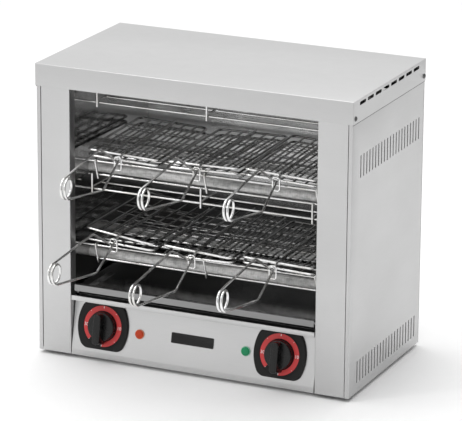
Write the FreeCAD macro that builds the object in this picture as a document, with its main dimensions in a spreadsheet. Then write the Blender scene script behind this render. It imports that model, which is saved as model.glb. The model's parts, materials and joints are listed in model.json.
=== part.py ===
"""Clamp toaster: a stainless steel cabinet with three rows of quartz heating tubes and six wire
clamps on two tiers. Run it in an empty folder. It writes one STEP file for each sub-part to parts/.

Millimetres. While the pieces are built, X runs to the right, Y runs back from the front face of the
cabinet and Z runs up from the underside of the cabinet. At the end every piece is moved together, so
that the origin lies under the middle of the whole object, on the surface that it stands on.
"""
import FreeCAD, Part
import Sketcher
import math
import os
import re
from types import SimpleNamespace
from FreeCAD import Placement, Rotation, Vector

# Driving sizes: alias, value in millimetres or degrees or a count, and what it is
SIZES = [
    ("body_width", 448, "outer width across the two side panels"),
    ("body_depth", 245, "front face of the posts to the rear face"),
    ("body_height", 395, "underside of the cabinet to the top of the cover"),
    ("sheet", 1.0, "thickness of the cabinet's sheet"),
    ("joint_gap", 0.3, "gap between neighbouring sheets, and under each moving piece"),
    ("cover_sheet", 0.8, "thickness of the cover"),
    ("cover_gap", 0.2, "gap between the cover's skirt and the side panels"),
    ("cover_front_gap", 1.2, "gap between the cover's skirt and the posts"),
    ("cover_skirt", 30, "height of the cover's skirt"),
    ("cover_slot_count", 8, "vent slots in each side of the skirt"),
    ("cover_slot_length", 20, "length of one vent slot"),
    ("cover_slot_height", 4.5, "height of one vent slot"),
    ("cover_slot_pitch", 26.2, "spacing of the vent slots"),
    ("cover_slot_drop", 4.2, "top of the cover to the top of the slots"),
    ("cover_slot_first", 18, "front face to the first slot"),
    ("post_width", 42, "width of each front post"),
    ("post_return", 15, "depth of the fold behind the opening's edge"),
    ("side_flange", 6, "front flange of each side panel"),
    ("side_overlap", 13, "how far the side panels reach up inside the cover's skirt"),
    ("opening_top", 364.5, "top edge of the front opening"),
    ("louvre_count", 21, "louvre slots in each band"),
    ("louvre_pitch", 10, "spacing of the louvre slots"),
    ("louvre_width", 2.6, "width of one louvre slot"),
    ("louvre_height", 30, "height of one louvre slot"),
    ("louvre_low", 13, "bottom of the lower band"),
    ("louvre_high", 289, "bottom of the upper band"),
    ("louvre_first", 26, "front face to the first slot"),
    ("rear_vent_count", 6, "slots in each rear vent"),
    ("rear_vent_pitch", 12, "spacing of the rear slots"),
    ("rear_vent_length", 28, "length of one rear slot"),
    ("rear_vent_height", 3, "height of one rear slot"),
    ("rear_vent_low", 285, "bottom of the rear vents"),
    ("band", 8, "upright band below the sloping panel"),
    ("panel_top", 76, "top of the sloping panel"),
    ("panel_recess", 13, "how far back the top of the sloping panel lies"),
    ("bar_top", 82.5, "top of the bar above the panel"),
    ("bar_fold", 2.5, "fold behind the top of the bar"),
    ("panel_gap", 0.8, "gap between the control panel's ends and the posts"),
    ("panel_fold", 22, "fold at the panel's bottom"),
    ("foot_height", 5, "height of the rubber feet"),
    ("foot_radius", 11, "radius of a foot"),
    ("foot_inset", 34, "body sides to the centre of a foot"),
    ("liner", 0.8, "thickness of the chamber's sheet"),
    ("chamber_back", 237, "front face to the inside of the chamber's back"),
    ("floor_front", 20, "front face to the front edge of the chamber's floor"),
    ("chamber_top", 380, "height of the chamber's ceiling"),
    ("row_low", 126.5, "height of the lowest row of tubes"),
    ("row_pitch", 118.5, "spacing of the rows of tubes"),
    ("tube_radius", 6.5, "outer radius of a quartz tube"),
    ("tube_bore", 5.0, "inner radius of a quartz tube"),
    ("tube_front", 62, "front face to the front tubes"),
    ("tube_pitch", 106, "front tubes to rear tubes"),
    ("filament_radius", 2.0, "radius of the wound heating element"),
    ("cap_radius", 8.5, "radius of a ceramic end cap"),
    ("cap_length", 14, "length of a ceramic end cap"),
    ("guard_wire", 3.0, "wire of the tube guards"),
    ("guard_pitch", 30, "spacing of the guard wires"),
    ("guard_count", 7, "long wires in one guard"),
    ("guard_cross_pitch", 158, "spacing of the guards' cross wires"),
    ("rest_front", 27, "front face to the first wire that the clamps rest on"),
    ("rest_rise_middle", 19, "middle tubes to the resting wires above them"),
    ("rest_rise_low", 21.5, "lowest tubes to the resting wires above them"),
    ("rest_drop", 20, "resting wires to the wire hung below them"),
    ("rest_lean", 7, "how far back the hung wire lies"),
    ("rest_tail", 5, "length of a hanger below the hung wire"),
    ("guard_bend", 2.8, "cut corner of the bends in the resting guards' cross wires"),
    ("rest_shift", 7, "resting guards' cross wires lie this far to the right"),
    ("under_front", 34, "front face to the first wire under the tubes"),
    ("under_drop", 21.5, "tubes to the wires under them"),
    ("hanger_rise", 21.5, "length of a hanger above the wires under the tubes"),
    ("hanger_tail", 5.5, "length of a hanger below those wires"),
    ("under_shift", -1, "middle under guard's cross wires, to the right"),
    ("jaw_width", 100, "width of a clamp's jaw between wire centres"),
    ("jaw_length", 170, "length of a clamp's jaw between wire centres"),
    ("jaw_corner", 4, "cut corner of a jaw's frame"),
    ("jaw_wire", 3.2, "wire of the jaw frames and handles"),
    ("grid_wire", 1.6, "thin wire of the jaws' grids"),
    ("grid_pitch", 10, "spacing of the long thin wires"),
    ("grid_long_count", 9, "long thin wires in one jaw"),
    ("grid_cross_count", 4, "cross wires in one jaw"),
    ("jaw_gap", 7.4, "lower jaw to upper jaw at the front, fully closed"),
    ("crossing_reach", 17.5, "jaws' front edge to the crossing of the arms"),
    ("crossing_height", 3.7, "lower jaw to the crossing"),
    ("coil_reach", 171.5, "jaws' front edge to the centre of the coil"),
    ("coil_height", 8.4, "lower jaw to the centre of the coil"),
    ("coil_radius", 13, "centre of the coil to the middle of its wire"),
    ("coil_pitch", 5, "spacing of the coil's turns"),
    ("coil_spans", 6, "near quarter turns in the coil"),
    ("peak_reach", 67, "jaws' front edge to the bend of the upper arm"),
    ("peak_height", 32.2, "lower jaw to the bend of the upper arm"),
    ("bend_reach", 68, "jaws' front edge to the bend of the lower arm"),
    ("bend_depth", 22.4, "lower jaw down to the bend of the lower arm"),
    ("arm_bend_radius", 7, "radius of the bends in the arms"),
    ("arm_gap", 0.6, "gap between the arms where they cross"),
    ("keeper_wire", 2.0, "wire of the keeper loop at the crossing"),
    ("keeper_travel", 10, "how far the arms part inside the keeper"),
    ("clamp_front", 25, "front face to the front edge of the jaws"),
    ("clamp_pitch", 112, "spacing of the clamps"),
    ("tray_width", 345, "width of the crumb tray"),
    ("tray_depth", 228, "depth of the crumb tray"),
    ("tray_wall", 9, "height of the tray's walls"),
    ("tray_front", 4, "front face to the tray's lip"),
    ("lip_bottom", 88.2, "bottom edge of the tray's lip"),
    ("lip_top", 97, "top edge of the tray's lip"),
    ("lip_depth", 6, "lip to the tray's front wall"),
    ("knob_offset", 128, "half the distance between the knobs"),
    ("panel_shift", -3, "knobs and lamps lie this far to the right of the middle"),
    ("knob_height", 43.5, "height of the knobs' axes at the panel"),
    ("dial_radius", 37.4, "middle of a dial plate to its bulging sides"),
    ("dial_bulge", 57, "radius of those sides"),
    ("dial_corner", 8, "radius of a dial plate's corners"),
    ("dial_height", 64, "height of a dial plate between its flats"),
    ("dial_thickness", 3.5, "thickness of a dial plate"),
    ("dial_well", 28.5, "radius of the shallow well in a dial plate"),
    ("dial_well_depth", 1.0, "depth of that well"),
    ("knob_radius", 20, "radius of a knob's skirt"),
    ("knob_skirt", 8, "height of a knob's skirt"),
    ("knob_reach", 23, "height of a knob's grip"),
    ("knob_grip", 12, "thickness of a knob's grip"),
    ("knob_pointer", 24, "axis to the long end of a knob's grip"),
    ("knob_sides", 30, "flats around a knob's skirt"),
    ("shaft_radius", 3, "radius of a timer's shaft"),
    ("shaft_fit", 0.05, "running clearance around a timer's shaft"),
    ("timer_size", 42, "width and height of a timer"),
    ("timer_depth", 30, "depth of a timer"),
    ("timer_bearing", 12, "depth of the timer's bearing"),
    ("lamp_left", -74.2, "orange lamp, from the middle of the two knobs"),
    ("lamp_right", 79.2, "green lamp, from the middle of the two knobs"),
    ("lamp_height", 40.5, "height of the lamps"),
    ("lamp_radius", 6.5, "radius of a lamp's lens"),
    ("lamp_rim", 1.0, "height of a lamp's rim"),
    ("lamp_lens", 2.2, "height of a lamp's lens above its rim"),
    ("lamp_barrel", 5, "radius of a lamp's barrel"),
    ("lamp_length", 24, "length of a lamp's barrel"),
    ("gland_offset", 175, "middle of the cabinet to the cable gland"),
    ("gland_height", 30, "height of the cable gland"),
    ("gland_bore", 4.5, "radius of the gland's bore"),
    ("gland_radius", 9, "radius of the gland's sleeve"),
    ("gland_length", 20, "length of the gland's sleeve"),
    ("gland_nut", 13, "radius of the gland's nut over its corners"),
    ("screw_radius", 3.7, "radius of a screw's head"),
    ("screw_head", 1.6, "height of a screw's head"),
]

# How each loose clamp lies: tier, column, shift right, shift back, height over the guard,
# turn and tip in degrees, and how far its jaws stand open at the front
CLAMPS = {
    "clamp_top_left": ("middle", -1, 1.0, 0.0, 0.0, 2.4, 0.0, 7.4),
    "clamp_top_middle": ("middle", 0, 2.0, 2.0, 0.0, 0.6, 0.0, 7.4),
    "clamp_top_right": ("middle", 1, 0.5, 4.5, 0.1, 2.2, 0.0, 7.4),
    "clamp_low_left": ("low", -1, -3.5, -2.0, 0.5, -1.8, 0.0, 11.5),
    "clamp_low_middle": ("low", 0, 1.0, -9.0, -1.0, -1.2, 2.4, 9.5),
    "clamp_low_right": ("low", 1, 1.5, -4.5, 0.5, 0.8, 0.0, 7.4),
}

WIRE_SIDES = 6
GRID_SIDES = 4

doc = FreeCAD.newDocument("clamp_toaster")
sheet = doc.addObject("Spreadsheet::Sheet", "Sizes")
for row, (alias, value, note) in enumerate(SIZES, 1):
    sheet.set("A%d" % row, alias)
    sheet.set("B%d" % row, str(value))
    sheet.set("C%d" % row, note)
    sheet.setAlias("B%d" % row, alias)
doc.recompute()
ALIASES = {alias for alias, value, note in SIZES}
s = SimpleNamespace(**{alias: float(sheet.get(alias)) for alias in ALIASES})

# Every finished sub-part: its name and the object that holds its shape
parts = {}


def finish(name, thing):
    """Name a sub-part and keep it for the export."""
    thing.Label = name
    parts[name] = thing
    return thing


def formula(text):
    """Write the sheet's name before each alias in a formula."""
    return re.sub(r"[a-z]\w+", lambda m: "Sizes." + m.group(0) if m.group(0) in ALIASES else m.group(0), text)


def bind(thing, **formulas):
    """Tie properties of an object to formulas of the sheet's aliases."""
    for prop, text in formulas.items():
        thing.setExpression(prop, formula(text))
    return thing


def origin_item(body, role):
    """A plane or an axis of a body's own origin."""
    return [item for item in body.Origin.OriginFeatures if item.Role == role][0]


def sketch_on(body, role, name, offset=0.0):
    """A sketch on one of the body's origin planes, moved along that plane's normal."""
    sketch = body.newObject("Sketcher::SketchObject", name)
    sketch.AttachmentSupport = [(origin_item(body, role), "")]
    sketch.MapMode = "FlatFace"
    sketch.AttachmentOffset = Placement(Vector(0, 0, offset), Rotation())
    return sketch


def outline(sketch, corners):
    """A closed outline of straight lines. Each corner is a pair of formulas."""
    count = len(corners)
    first = sketch.GeometryCount
    ring = [Vector(10 * math.cos(2 * math.pi * i / count), 10 * math.sin(2 * math.pi * i / count), 0)
            for i in range(count)]
    for i in range(count):
        sketch.addGeometry(Part.LineSegment(ring[i], ring[(i + 1) % count]), False)
    for i in range(count):
        sketch.addConstraint(Sketcher.Constraint("Coincident", first + i, 2, first + (i + 1) % count, 1))
    for i, corner in enumerate(corners):
        for kind, text in zip(("DistanceX", "DistanceY"), corner):
            index = sketch.addConstraint(Sketcher.Constraint(kind, -1, 1, first + i, 1, 1.0))
            sketch.setExpression("Constraints[%d]" % index, formula(text))
    return sketch


def box_corners(left, right, bottom, top):
    """The four corners of a rectangle, for outline()."""
    return [(left, bottom), (right, bottom), (right, top), (left, top)]


def ring_corners(across, up, radius, count):
    """The corners of a regular polygon, for outline(). Its flats lie at least radius from the centre."""
    reach = "(%s) / cos(180 deg / %d)" % (radius, count)
    turns = [360.0 * (i + 0.5) / count for i in range(count)]
    return [("%s + %s * cos(%g deg)" % (across, reach, turn), "%s + %s * sin(%g deg)" % (up, reach, turn))
            for turn in turns]


def circle(sketch, across, up, radius):
    """A circle whose centre and radius are formulas."""
    index = sketch.addGeometry(Part.Circle(Vector(0, 0, 0), Vector(0, 0, 1), 1), False)
    for kind, text in (("DistanceX", across), ("DistanceY", up)):
        place = sketch.addConstraint(Sketcher.Constraint(kind, -1, 1, index, 3, 1.0))
        sketch.setExpression("Constraints[%d]" % place, formula(text))
    size = sketch.addConstraint(Sketcher.Constraint("Radius", index, 1.0))
    sketch.setExpression("Constraints[%d]" % size, formula(radius))
    return sketch


def feature(body, kind, sketch, name, **settings):
    """A pad or a pocket of a sketch."""
    item = body.newObject("PartDesign::" + kind, name)
    item.Profile = sketch
    for prop, value in settings.items():
        if isinstance(value, str) and prop in ("Length", "Length2"):
            bind(item, **{prop: value})
        else:
            setattr(item, prop, value)
    sketch.Visibility = False
    return item


def pattern(body, features, axis_role, length, count, name):
    """Repeat features along one of the body's axes. The pattern becomes the body's tip."""
    doc.recompute()
    item = body.newObject("PartDesign::LinearPattern", name)
    item.Originals = features
    item.Direction = (origin_item(body, axis_role), [""])
    bind(item, Length=length, Occurrences=count)
    body.Tip = item
    return item


def group(name, members):
    """Several solids kept side by side in one sub-part."""
    item = doc.addObject("Part::Compound", name)
    item.Links = members
    return finish(name, item)


def rod(name, width, length, start, direction, sides=WIRE_SIDES):
    """A straight wire with flat sides: width is a formula, across its flats."""
    prism = doc.addObject("Part::Prism", name)
    prism.Polygon = sides
    bind(prism, Circumradius="(%s) / 2 / cos(180 deg / %d)" % (width, sides), Height=length)
    along = Vector(*direction).normalize()
    side = Vector(1, 0, 0) if abs(along.x) < 0.5 else Vector(0, 1, 0)
    side = (side - along * side.dot(along)).normalize()
    spin = 180.0 / sides if sides % 4 == 0 else 0
    face = Rotation(side, along.cross(side), along, "ZXY") * Rotation(Vector(0, 0, 1), spin)
    prism.Placement = Placement(Vector(*start), face)
    return prism


def box(name, corner, **formulas):
    """A block with formulas for Length, Width and Height, from its lowest corner."""
    block = doc.addObject("Part::Box", name)
    bind(block, **formulas)
    block.Placement = Placement(Vector(*corner), Rotation())
    return block


# Heights and places that several pieces share
ROWS = {"low": s.row_low, "middle": s.row_low + s.row_pitch, "top": s.row_low + 2 * s.row_pitch}
REST = {"low": ROWS["low"] + s.rest_rise_low, "middle": ROWS["middle"] + s.rest_rise_middle}
UNDER = {"middle": ROWS["middle"] - s.under_drop, "top": ROWS["top"] - s.under_drop}
OPENING_HALF = s.body_width / 2 - s.side_flange - s.post_width
LINER_FACE = OPENING_HALF + s.sheet
KNOB_LEFT = s.panel_shift - s.knob_offset
KNOB_RIGHT = s.panel_shift + s.knob_offset
LAMP_LEFT = s.panel_shift + s.lamp_left
LAMP_RIGHT = s.panel_shift + s.lamp_right
SLOPE = math.degrees(math.atan2(s.panel_recess, s.panel_top - s.band))
HALF = "(body_width / 2)"
OPENING = "(body_width / 2 - side_flange - post_width)"


def on_panel(across, height, lift=0.0):
    """A place on the sloping panel. Its Z axis points straight out of the panel's face."""
    back = s.panel_recess * (height - s.band) / (s.panel_top - s.band)
    turn = Rotation(Vector(1, 0, 0), 90 - SLOPE)
    face = Placement(Vector(across, back, height), turn)
    return face * Placement(Vector(0, 0, lift), Rotation())


# The cabinet's outer sheets

def make_cover():
    """A shallow folded lid with a skirt all round and a row of vent slots in each side."""
    body = doc.addObject("PartDesign::Body", "top_cover")
    outer = box_corners("-%s - cover_gap - cover_sheet" % HALF, "%s + cover_gap + cover_sheet" % HALF,
                        "-cover_front_gap - cover_sheet", "body_depth + cover_gap + cover_sheet")
    inner = box_corners("-%s - cover_gap" % HALF, "%s + cover_gap" % HALF,
                        "-cover_front_gap", "body_depth + cover_gap")
    block = outline(sketch_on(body, "XY_Plane", "cover_plan", s.body_height), outer)
    feature(body, "Pad", block, "cover_block", Length="cover_skirt", Reversed=True)
    hollow = outline(sketch_on(body, "XY_Plane", "cover_hollow", s.body_height - s.cover_skirt), inner)
    doc.recompute()
    feature(body, "Pocket", hollow, "cover_inside", Length="cover_skirt - cover_sheet", Reversed=True)
    slot = outline(sketch_on(body, "YZ_Plane", "cover_slot"),
                   box_corners("cover_slot_first", "cover_slot_first + cover_slot_length",
                               "body_height - cover_slot_drop - cover_slot_height",
                               "body_height - cover_slot_drop"))
    doc.recompute()
    cut = feature(body, "Pocket", slot, "cover_vent", Type="ThroughAll", Midplane=True)
    pattern(body, [cut], "Y_Axis", "cover_slot_pitch * (cover_slot_count - 1)", "cover_slot_count",
            "cover_vents")
    finish("top_cover", body)


def make_side_panel(name, side):
    """A side sheet with a front and a rear flange and two bands of louvre slots."""
    body = doc.addObject("PartDesign::Body", name)
    sign = "" if side > 0 else "-"
    face = "%s%s" % (sign, HALF)
    inside = "%s(%s - sheet)" % (sign, HALF)
    front_edge = "%s(%s - side_flange + joint_gap)" % (sign, HALF)
    rear_edge = "%s(%s - 2 * side_flange)" % (sign, HALF)
    plan = outline(sketch_on(body, "XY_Plane", name + "_plan"), [
        (front_edge, "0"), (face, "0"), (face, "body_depth - sheet"), (rear_edge, "body_depth - sheet"),
        (rear_edge, "body_depth - 2 * sheet"), (inside, "body_depth - 2 * sheet"), (inside, "sheet"),
        (front_edge, "sheet")])
    feature(body, "Pad", plan, name + "_sheet", Length="body_height - cover_skirt + side_overlap")
    doc.recompute()
    cuts = []
    for band in ("louvre_low", "louvre_high"):
        slot = outline(sketch_on(body, "YZ_Plane", name + "_" + band, side * s.body_width / 2),
                       box_corners("louvre_first", "louvre_first + louvre_width", band,
                                   band + " + louvre_height"))
        cuts.append(feature(body, "Pocket", slot, name + "_" + band + "_cut", Length="2 * sheet",
                            Reversed=side < 0))
    pattern(body, cuts, "Y_Axis", "louvre_pitch * (louvre_count - 1)", "louvre_count", name + "_louvres")
    finish(name, body)


def make_rear_panel():
    """The rear sheet, with a vent behind each side compartment and the cable gland's hole."""
    body = doc.addObject("PartDesign::Body", "rear_panel")
    plan = outline(sketch_on(body, "XZ_Plane", "rear_plan", -s.body_depth),
                   box_corners("-" + HALF, HALF, "0", "body_height - cover_sheet"))
    feature(body, "Pad", plan, "rear_sheet", Length="sheet")
    doc.recompute()
    hole = circle(sketch_on(body, "XZ_Plane", "gland_place", -s.body_depth), "gland_offset",
                  "gland_height", "gland_bore + 0.5")
    feature(body, "Pocket", hole, "gland_hole", Type="ThroughAll", Midplane=True)
    cuts = []
    for tag, start in (("left", "-%s + 12" % HALF), ("right", "%s - 12 - rear_vent_length" % HALF)):
        slot = outline(sketch_on(body, "XZ_Plane", "rear_vent_" + tag, -s.body_depth),
                       box_corners(start, start + " + rear_vent_length", "rear_vent_low",
                                   "rear_vent_low + rear_vent_height"))
        cuts.append(feature(body, "Pocket", slot, "rear_cut_" + tag, Type="ThroughAll", Midplane=True))
    pattern(body, cuts, "Z_Axis", "rear_vent_pitch * (rear_vent_count - 1)", "rear_vent_count",
            "rear_vents")
    finish("rear_panel", body)


def make_base_plate():
    """The bottom sheet, with an upturned edge along its sides, between the panels."""
    body = doc.addObject("PartDesign::Body", "base_plate")
    edge = "(%s - sheet - joint_gap)" % HALF
    rear_edge = s.body_depth - 2 * s.sheet - s.joint_gap
    section = outline(sketch_on(body, "XZ_Plane", "base_section", -rear_edge), [
        ("-" + edge, "0"), (edge, "0"), (edge, "12"), (edge + " - sheet", "12"),
        (edge + " - sheet", "sheet"), ("-%s + sheet" % edge, "sheet"), ("-%s + sheet" % edge, "12"),
        ("-" + edge, "12")])
    feature(body, "Pad", section, "base_sheet",
            Length="body_depth - 2 * sheet - joint_gap - panel_fold - joint_gap")
    finish("base_plate", body)


def make_front_frame():
    """Two posts joined by a top bar, with the folds that frame the opening."""
    body = doc.addObject("PartDesign::Body", "front_frame")
    outer = "(%s - side_flange)" % HALF
    top = "(body_height - cover_sheet)"
    face = outline(sketch_on(body, "XZ_Plane", "frame_face"), [
        ("-" + outer, "0"), ("-" + OPENING, "0"), ("-" + OPENING, "opening_top"), (OPENING, "opening_top"),
        (OPENING, "0"), (outer, "0"), (outer, top), ("-" + outer, top)])
    feature(body, "Pad", face, "frame_sheet", Length="sheet", Reversed=True)
    fold = outline(sketch_on(body, "XZ_Plane", "frame_fold_line"), [
        ("-%s - sheet" % OPENING, "0"), ("-" + OPENING, "0"), ("-" + OPENING, "opening_top"),
        (OPENING, "opening_top"), (OPENING, "0"), (OPENING + " + sheet", "0"),
        (OPENING + " + sheet", "opening_top + sheet"), ("-%s - sheet" % OPENING, "opening_top + sheet")])
    feature(body, "Pad", fold, "frame_fold", Length="post_return", Reversed=True)
    finish("front_frame", body)


def make_control_panel():
    """One folded sheet: bottom fold, upright band, sloping panel, ledge, bar and top fold."""
    body = doc.addObject("PartDesign::Body", "control_sheet")
    section = outline(sketch_on(body, "YZ_Plane", "control_section"), [
        ("panel_fold", "0"), ("0", "0"), ("0", "band"), ("panel_recess", "panel_top"), ("0", "panel_top"),
        ("0", "bar_top"), ("bar_fold", "bar_top"), ("bar_fold", "bar_top - sheet"),
        ("sheet", "bar_top - sheet"), ("sheet", "panel_top + sheet"),
        ("panel_recess * (panel_top + sheet - band) / (panel_top - band) + sheet", "panel_top + sheet"),
        ("sheet", "band"), ("sheet", "sheet"),
        ("panel_fold", "sheet")])
    feature(body, "Pad", section, "control_fold", Length="2 * (%s - panel_gap)" % OPENING, Midplane=True)
    holes = []
    for tag, across, height, radius in (
            ("knob_left", KNOB_LEFT, s.knob_height, "shaft_radius + 1"),
            ("knob_right", KNOB_RIGHT, s.knob_height, "shaft_radius + 1"),
            ("lamp_left", LAMP_LEFT, s.lamp_height, "lamp_barrel + joint_gap"),
            ("lamp_right", LAMP_RIGHT, s.lamp_height, "lamp_barrel + joint_gap")):
        drill = rod("hole_" + tag, "2 * (%s)" % radius, "8 * sheet", (0, 0, 0), (0, 0, 1), 12)
        drill.Placement = on_panel(across, height, -4 * s.sheet)
        holes.append(drill)
    drills = doc.addObject("Part::Compound", "panel_holes")
    drills.Links = holes
    cut = doc.addObject("Part::Cut", "control_panel")
    cut.Base = body
    cut.Tool = drills
    finish("control_panel", cut)


def make_feet():
    """Four rubber feet."""
    feet = []
    for across in (-1, 1):
        for near in (True, False):
            depth = s.foot_inset if near else s.body_depth - s.foot_inset
            place = Placement(Vector(across * (s.body_width / 2 - s.foot_inset), depth, 0), Rotation())
            foot = rod("foot", "2 * foot_radius", "foot_height", (0, 0, 0), (0, 0, -1), 16)
            foot.Placement = place * foot.Placement
            feet.append(foot)
    group("feet", feet)


# The chamber

def make_chamber_wall(name, side):
    """A side of the chamber, with holes for the tubes and for the ends of the guards' wires."""
    body = doc.addObject("PartDesign::Body", name + "_sheet")
    face = outline(sketch_on(body, "YZ_Plane", name + "_face", side * LINER_FACE),
                   box_corners("sheet + joint_gap", "chamber_back", "bar_top + sheet", "chamber_top"))
    feature(body, "Pad", face, name + "_pad", Length="liner", Reversed=side < 0)
    doc.recompute()
    holes = sketch_on(body, "YZ_Plane", name + "_tubes", side * LINER_FACE)
    for row in ("row_low", "row_low + row_pitch", "row_low + 2 * row_pitch"):
        for depth in ("tube_front", "tube_front + tube_pitch"):
            outline(holes, ring_corners(depth, row, "tube_radius + joint_gap", 8))
    feature(body, "Pocket", holes, name + "_tube_holes", Type="ThroughAll", Midplane=True)
    ends = sketch_on(body, "YZ_Plane", name + "_wires", side * LINER_FACE)
    reach = "guard_pitch * (guard_count - 1)"
    for front, height in (
            ("rest_front", "row_low + rest_rise_low"),
            ("rest_front", "row_low + row_pitch + rest_rise_middle"),
            ("under_front", "row_low + row_pitch - under_drop"),
            ("under_front", "row_low + 2 * row_pitch - under_drop")):
        for depth in (front, front + " + " + reach):
            outline(ends, box_corners(depth + " - 0.6 * guard_wire - joint_gap",
                                      depth + " + 0.6 * guard_wire + joint_gap",
                                      height + " - guard_wire / 2", height + " + guard_wire / 2 + joint_gap"))
    doc.recompute()
    feature(body, "Pocket", ends, name + "_wire_holes", Type="ThroughAll", Midplane=True)
    finish(name, body)


def make_chamber():
    """The sheets that line the toasting chamber: two sides, a back, a ceiling and a floor."""
    make_chamber_wall("chamber_wall_left", -1)
    make_chamber_wall("chamber_wall_right", 1)
    inner = "(%s + sheet)" % OPENING
    back = box("chamber_back", (-LINER_FACE - s.liner, s.chamber_back, s.bar_top + s.sheet),
               Length="2 * (%s + liner)" % inner, Width="liner", Height="chamber_top - bar_top - sheet")
    finish("chamber_back", back)
    roof = box("chamber_roof", (-LINER_FACE - s.liner, s.sheet, s.chamber_top),
               Length="2 * (%s + liner)" % inner, Width="chamber_back + liner - sheet", Height="liner")
    finish("chamber_roof", roof)
    floor = box("chamber_floor", (-LINER_FACE - s.liner, s.floor_front, s.bar_top),
                Length="2 * (%s + liner)" % inner, Width="chamber_back + liner - floor_front",
                Height="sheet")
    finish("chamber_floor", floor)


def make_tubes():
    """Quartz tubes in pairs, each with its wound element and a ceramic cap at both ends."""
    elements = []
    caps = []
    end = LINER_FACE + s.liner
    whole = "2 * (%s + sheet + liner)" % OPENING
    for row, height in ROWS.items():
        pair = []
        for depth in (s.tube_front, s.tube_front + s.tube_pitch):
            start = (-end, depth, height)
            outer = rod("tube_outside", "2 * tube_radius", whole, start, (1, 0, 0), 16)
            inner = rod("tube_inside", "2 * tube_bore", whole, start, (1, 0, 0), 8)
            tube = doc.addObject("Part::Cut", "quartz_tube")
            tube.Base = outer
            tube.Tool = inner
            pair.append(tube)
            elements.append(rod("filament", "2 * filament_radius", whole, start, (1, 0, 0)))
            for side in (-1, 1):
                caps.append(rod("ceramic_cap", "2 * cap_radius", "cap_length", (side * end, depth, height),
                                (side, 0, 0), 8))
        group("quartz_tubes_" + row, pair)
    group("heating_elements", elements)
    group("tube_end_caps", caps)


# Bent wires

def flat_section(centre, along, width, sides):
    """A closed section with flat sides, across its flats as wide as the wire is thick."""
    up = Vector(0, 0, 1) if abs(along.z) < 0.9 else Vector(1, 0, 0)
    side = along.cross(up).normalize()
    rise = side.cross(along)
    radius = width / 2 / math.cos(math.pi / sides)
    turns = [2 * math.pi * (i + 0.5) / sides for i in range(sides)]
    corners = [centre + side * (radius * math.sin(t)) + rise * (radius * math.cos(t)) for t in turns]
    return Part.makePolygon(corners + corners[:1])


def arc_between(start, apex, end):
    """The arc that leaves start towards apex and reaches end from apex."""
    middle = (start + end) * 0.5
    rise = apex - middle
    half = (end - start).Length / 2
    sag = half * math.tan(0.5 * math.atan(rise.Length / half))
    return Part.Arc(start, middle + rise.normalize() * sag, end).toShape()


def biarc(start, leave, end, arrive):
    """Two tangent arcs from start to end with the given directions."""
    chord = end - start
    total = leave + arrive
    k = 2 * (1 - leave.dot(arrive))
    reach = (math.sqrt(chord.dot(total) ** 2 + k * chord.dot(chord)) - chord.dot(total)) / k
    middle = (start + leave * reach + end - arrive * reach) * 0.5
    return [arc_between(start, start + leave * reach, middle), arc_between(middle, end - arrive * reach, end)]


def bent_path(points, radius):
    """Straight runs through the points, with an arc at each point between."""
    edges = []
    last = points[0]
    for before, corner, after in zip(points, points[1:], points[2:]):
        back = (before - corner).normalize()
        on = (after - corner).normalize()
        turn = math.pi - math.acos(max(-1.0, min(1.0, back.dot(on))))
        cut = radius * math.tan(turn / 2)
        edges.append(Part.LineSegment(last, corner + back * cut).toShape())
        edges.append(arc_between(corner + back * cut, corner, corner + on * cut))
        last = corner + on * cut
    edges.append(Part.LineSegment(last, points[-1]).toShape())
    return edges


def swept(edges, width, sides):
    """One solid wire along a path of edges."""
    path = Part.Wire(edges)
    start = edges[0].valueAt(edges[0].FirstParameter)
    along = edges[0].tangentAt(edges[0].FirstParameter).normalize()
    shell = Part.BRepOffsetAPI.MakePipeShell(path)
    shell.add(flat_section(start, along, width, sides))
    shell.build()
    shell.makeSolid()
    return shell.shape()


def mitred(points, width):
    """One solid wire through the points, with a mitre at each."""
    shell = Part.BRepOffsetAPI.MakePipeShell(Part.makePolygon(points))
    along = (points[1] - points[0]).normalize()
    shell.add(flat_section(points[0], along, width, WIRE_SIDES))
    shell.setTransitionMode(1)
    shell.build()
    shell.makeSolid()
    return shell.shape()


# The wire guards

def long_wires(front, height, shift):
    """The guard wires that run from side to side. The first and last reach into the walls."""
    wires = []
    overhang = s.guard_wire
    span = s.guard_cross_pitch + overhang
    for i in range(int(s.guard_count)):
        depth = front + i * s.guard_pitch
        if i in (0, int(s.guard_count) - 1):
            reach = LINER_FACE + 3 * s.liner
            wires.append(rod("guard_main", "guard_wire", "2 * (%s + sheet + 3 * liner)" % OPENING,
                             (-reach, depth, height), (1, 0, 0)))
        else:
            wires.append(rod("guard_long", "guard_wire", "2 * (guard_cross_pitch + guard_wire)",
                             (shift - span, depth, height), (1, 0, 0)))
    return wires


def make_rest_guard(name, height):
    """The clamps rest on this guard. Its cross wires are bent down in front to carry a hung wire."""
    wires = long_wires(s.rest_front, height, s.rest_shift)
    slant = Vector(0, s.rest_lean, -s.rest_drop)
    length = slant.Length + s.rest_tail
    slant.normalize()
    ahead = Vector(0, slant.z, -slant.y) * (s.guard_wire + s.joint_gap)
    upper = height + s.guard_wire
    span = s.guard_cross_pitch + s.guard_wire
    wires.append(rod("guard_hung", "guard_wire", "2 * (guard_cross_pitch + guard_wire)",
                     (s.rest_shift - span, s.rest_front + s.rest_lean, height - s.rest_drop), (1, 0, 0)))
    for i in (-1, 0, 1):
        across = s.rest_shift + i * s.guard_cross_pitch
        level = Vector(across, s.rest_front, height) + ahead
        corner = level + slant * ((upper - level.z) / slant.z)
        rear = Vector(across, s.rest_front + s.guard_pitch * (s.guard_count - 1) + s.guard_wire, upper)
        wire = doc.addObject("Part::Feature", "guard_cross")
        wire.Shape = mitred([rear, corner + Vector(0, s.guard_bend, 0), corner + slant * s.guard_bend,
                             level + slant * length], s.guard_wire)
        wires.append(wire)
    group(name, wires)


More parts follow.
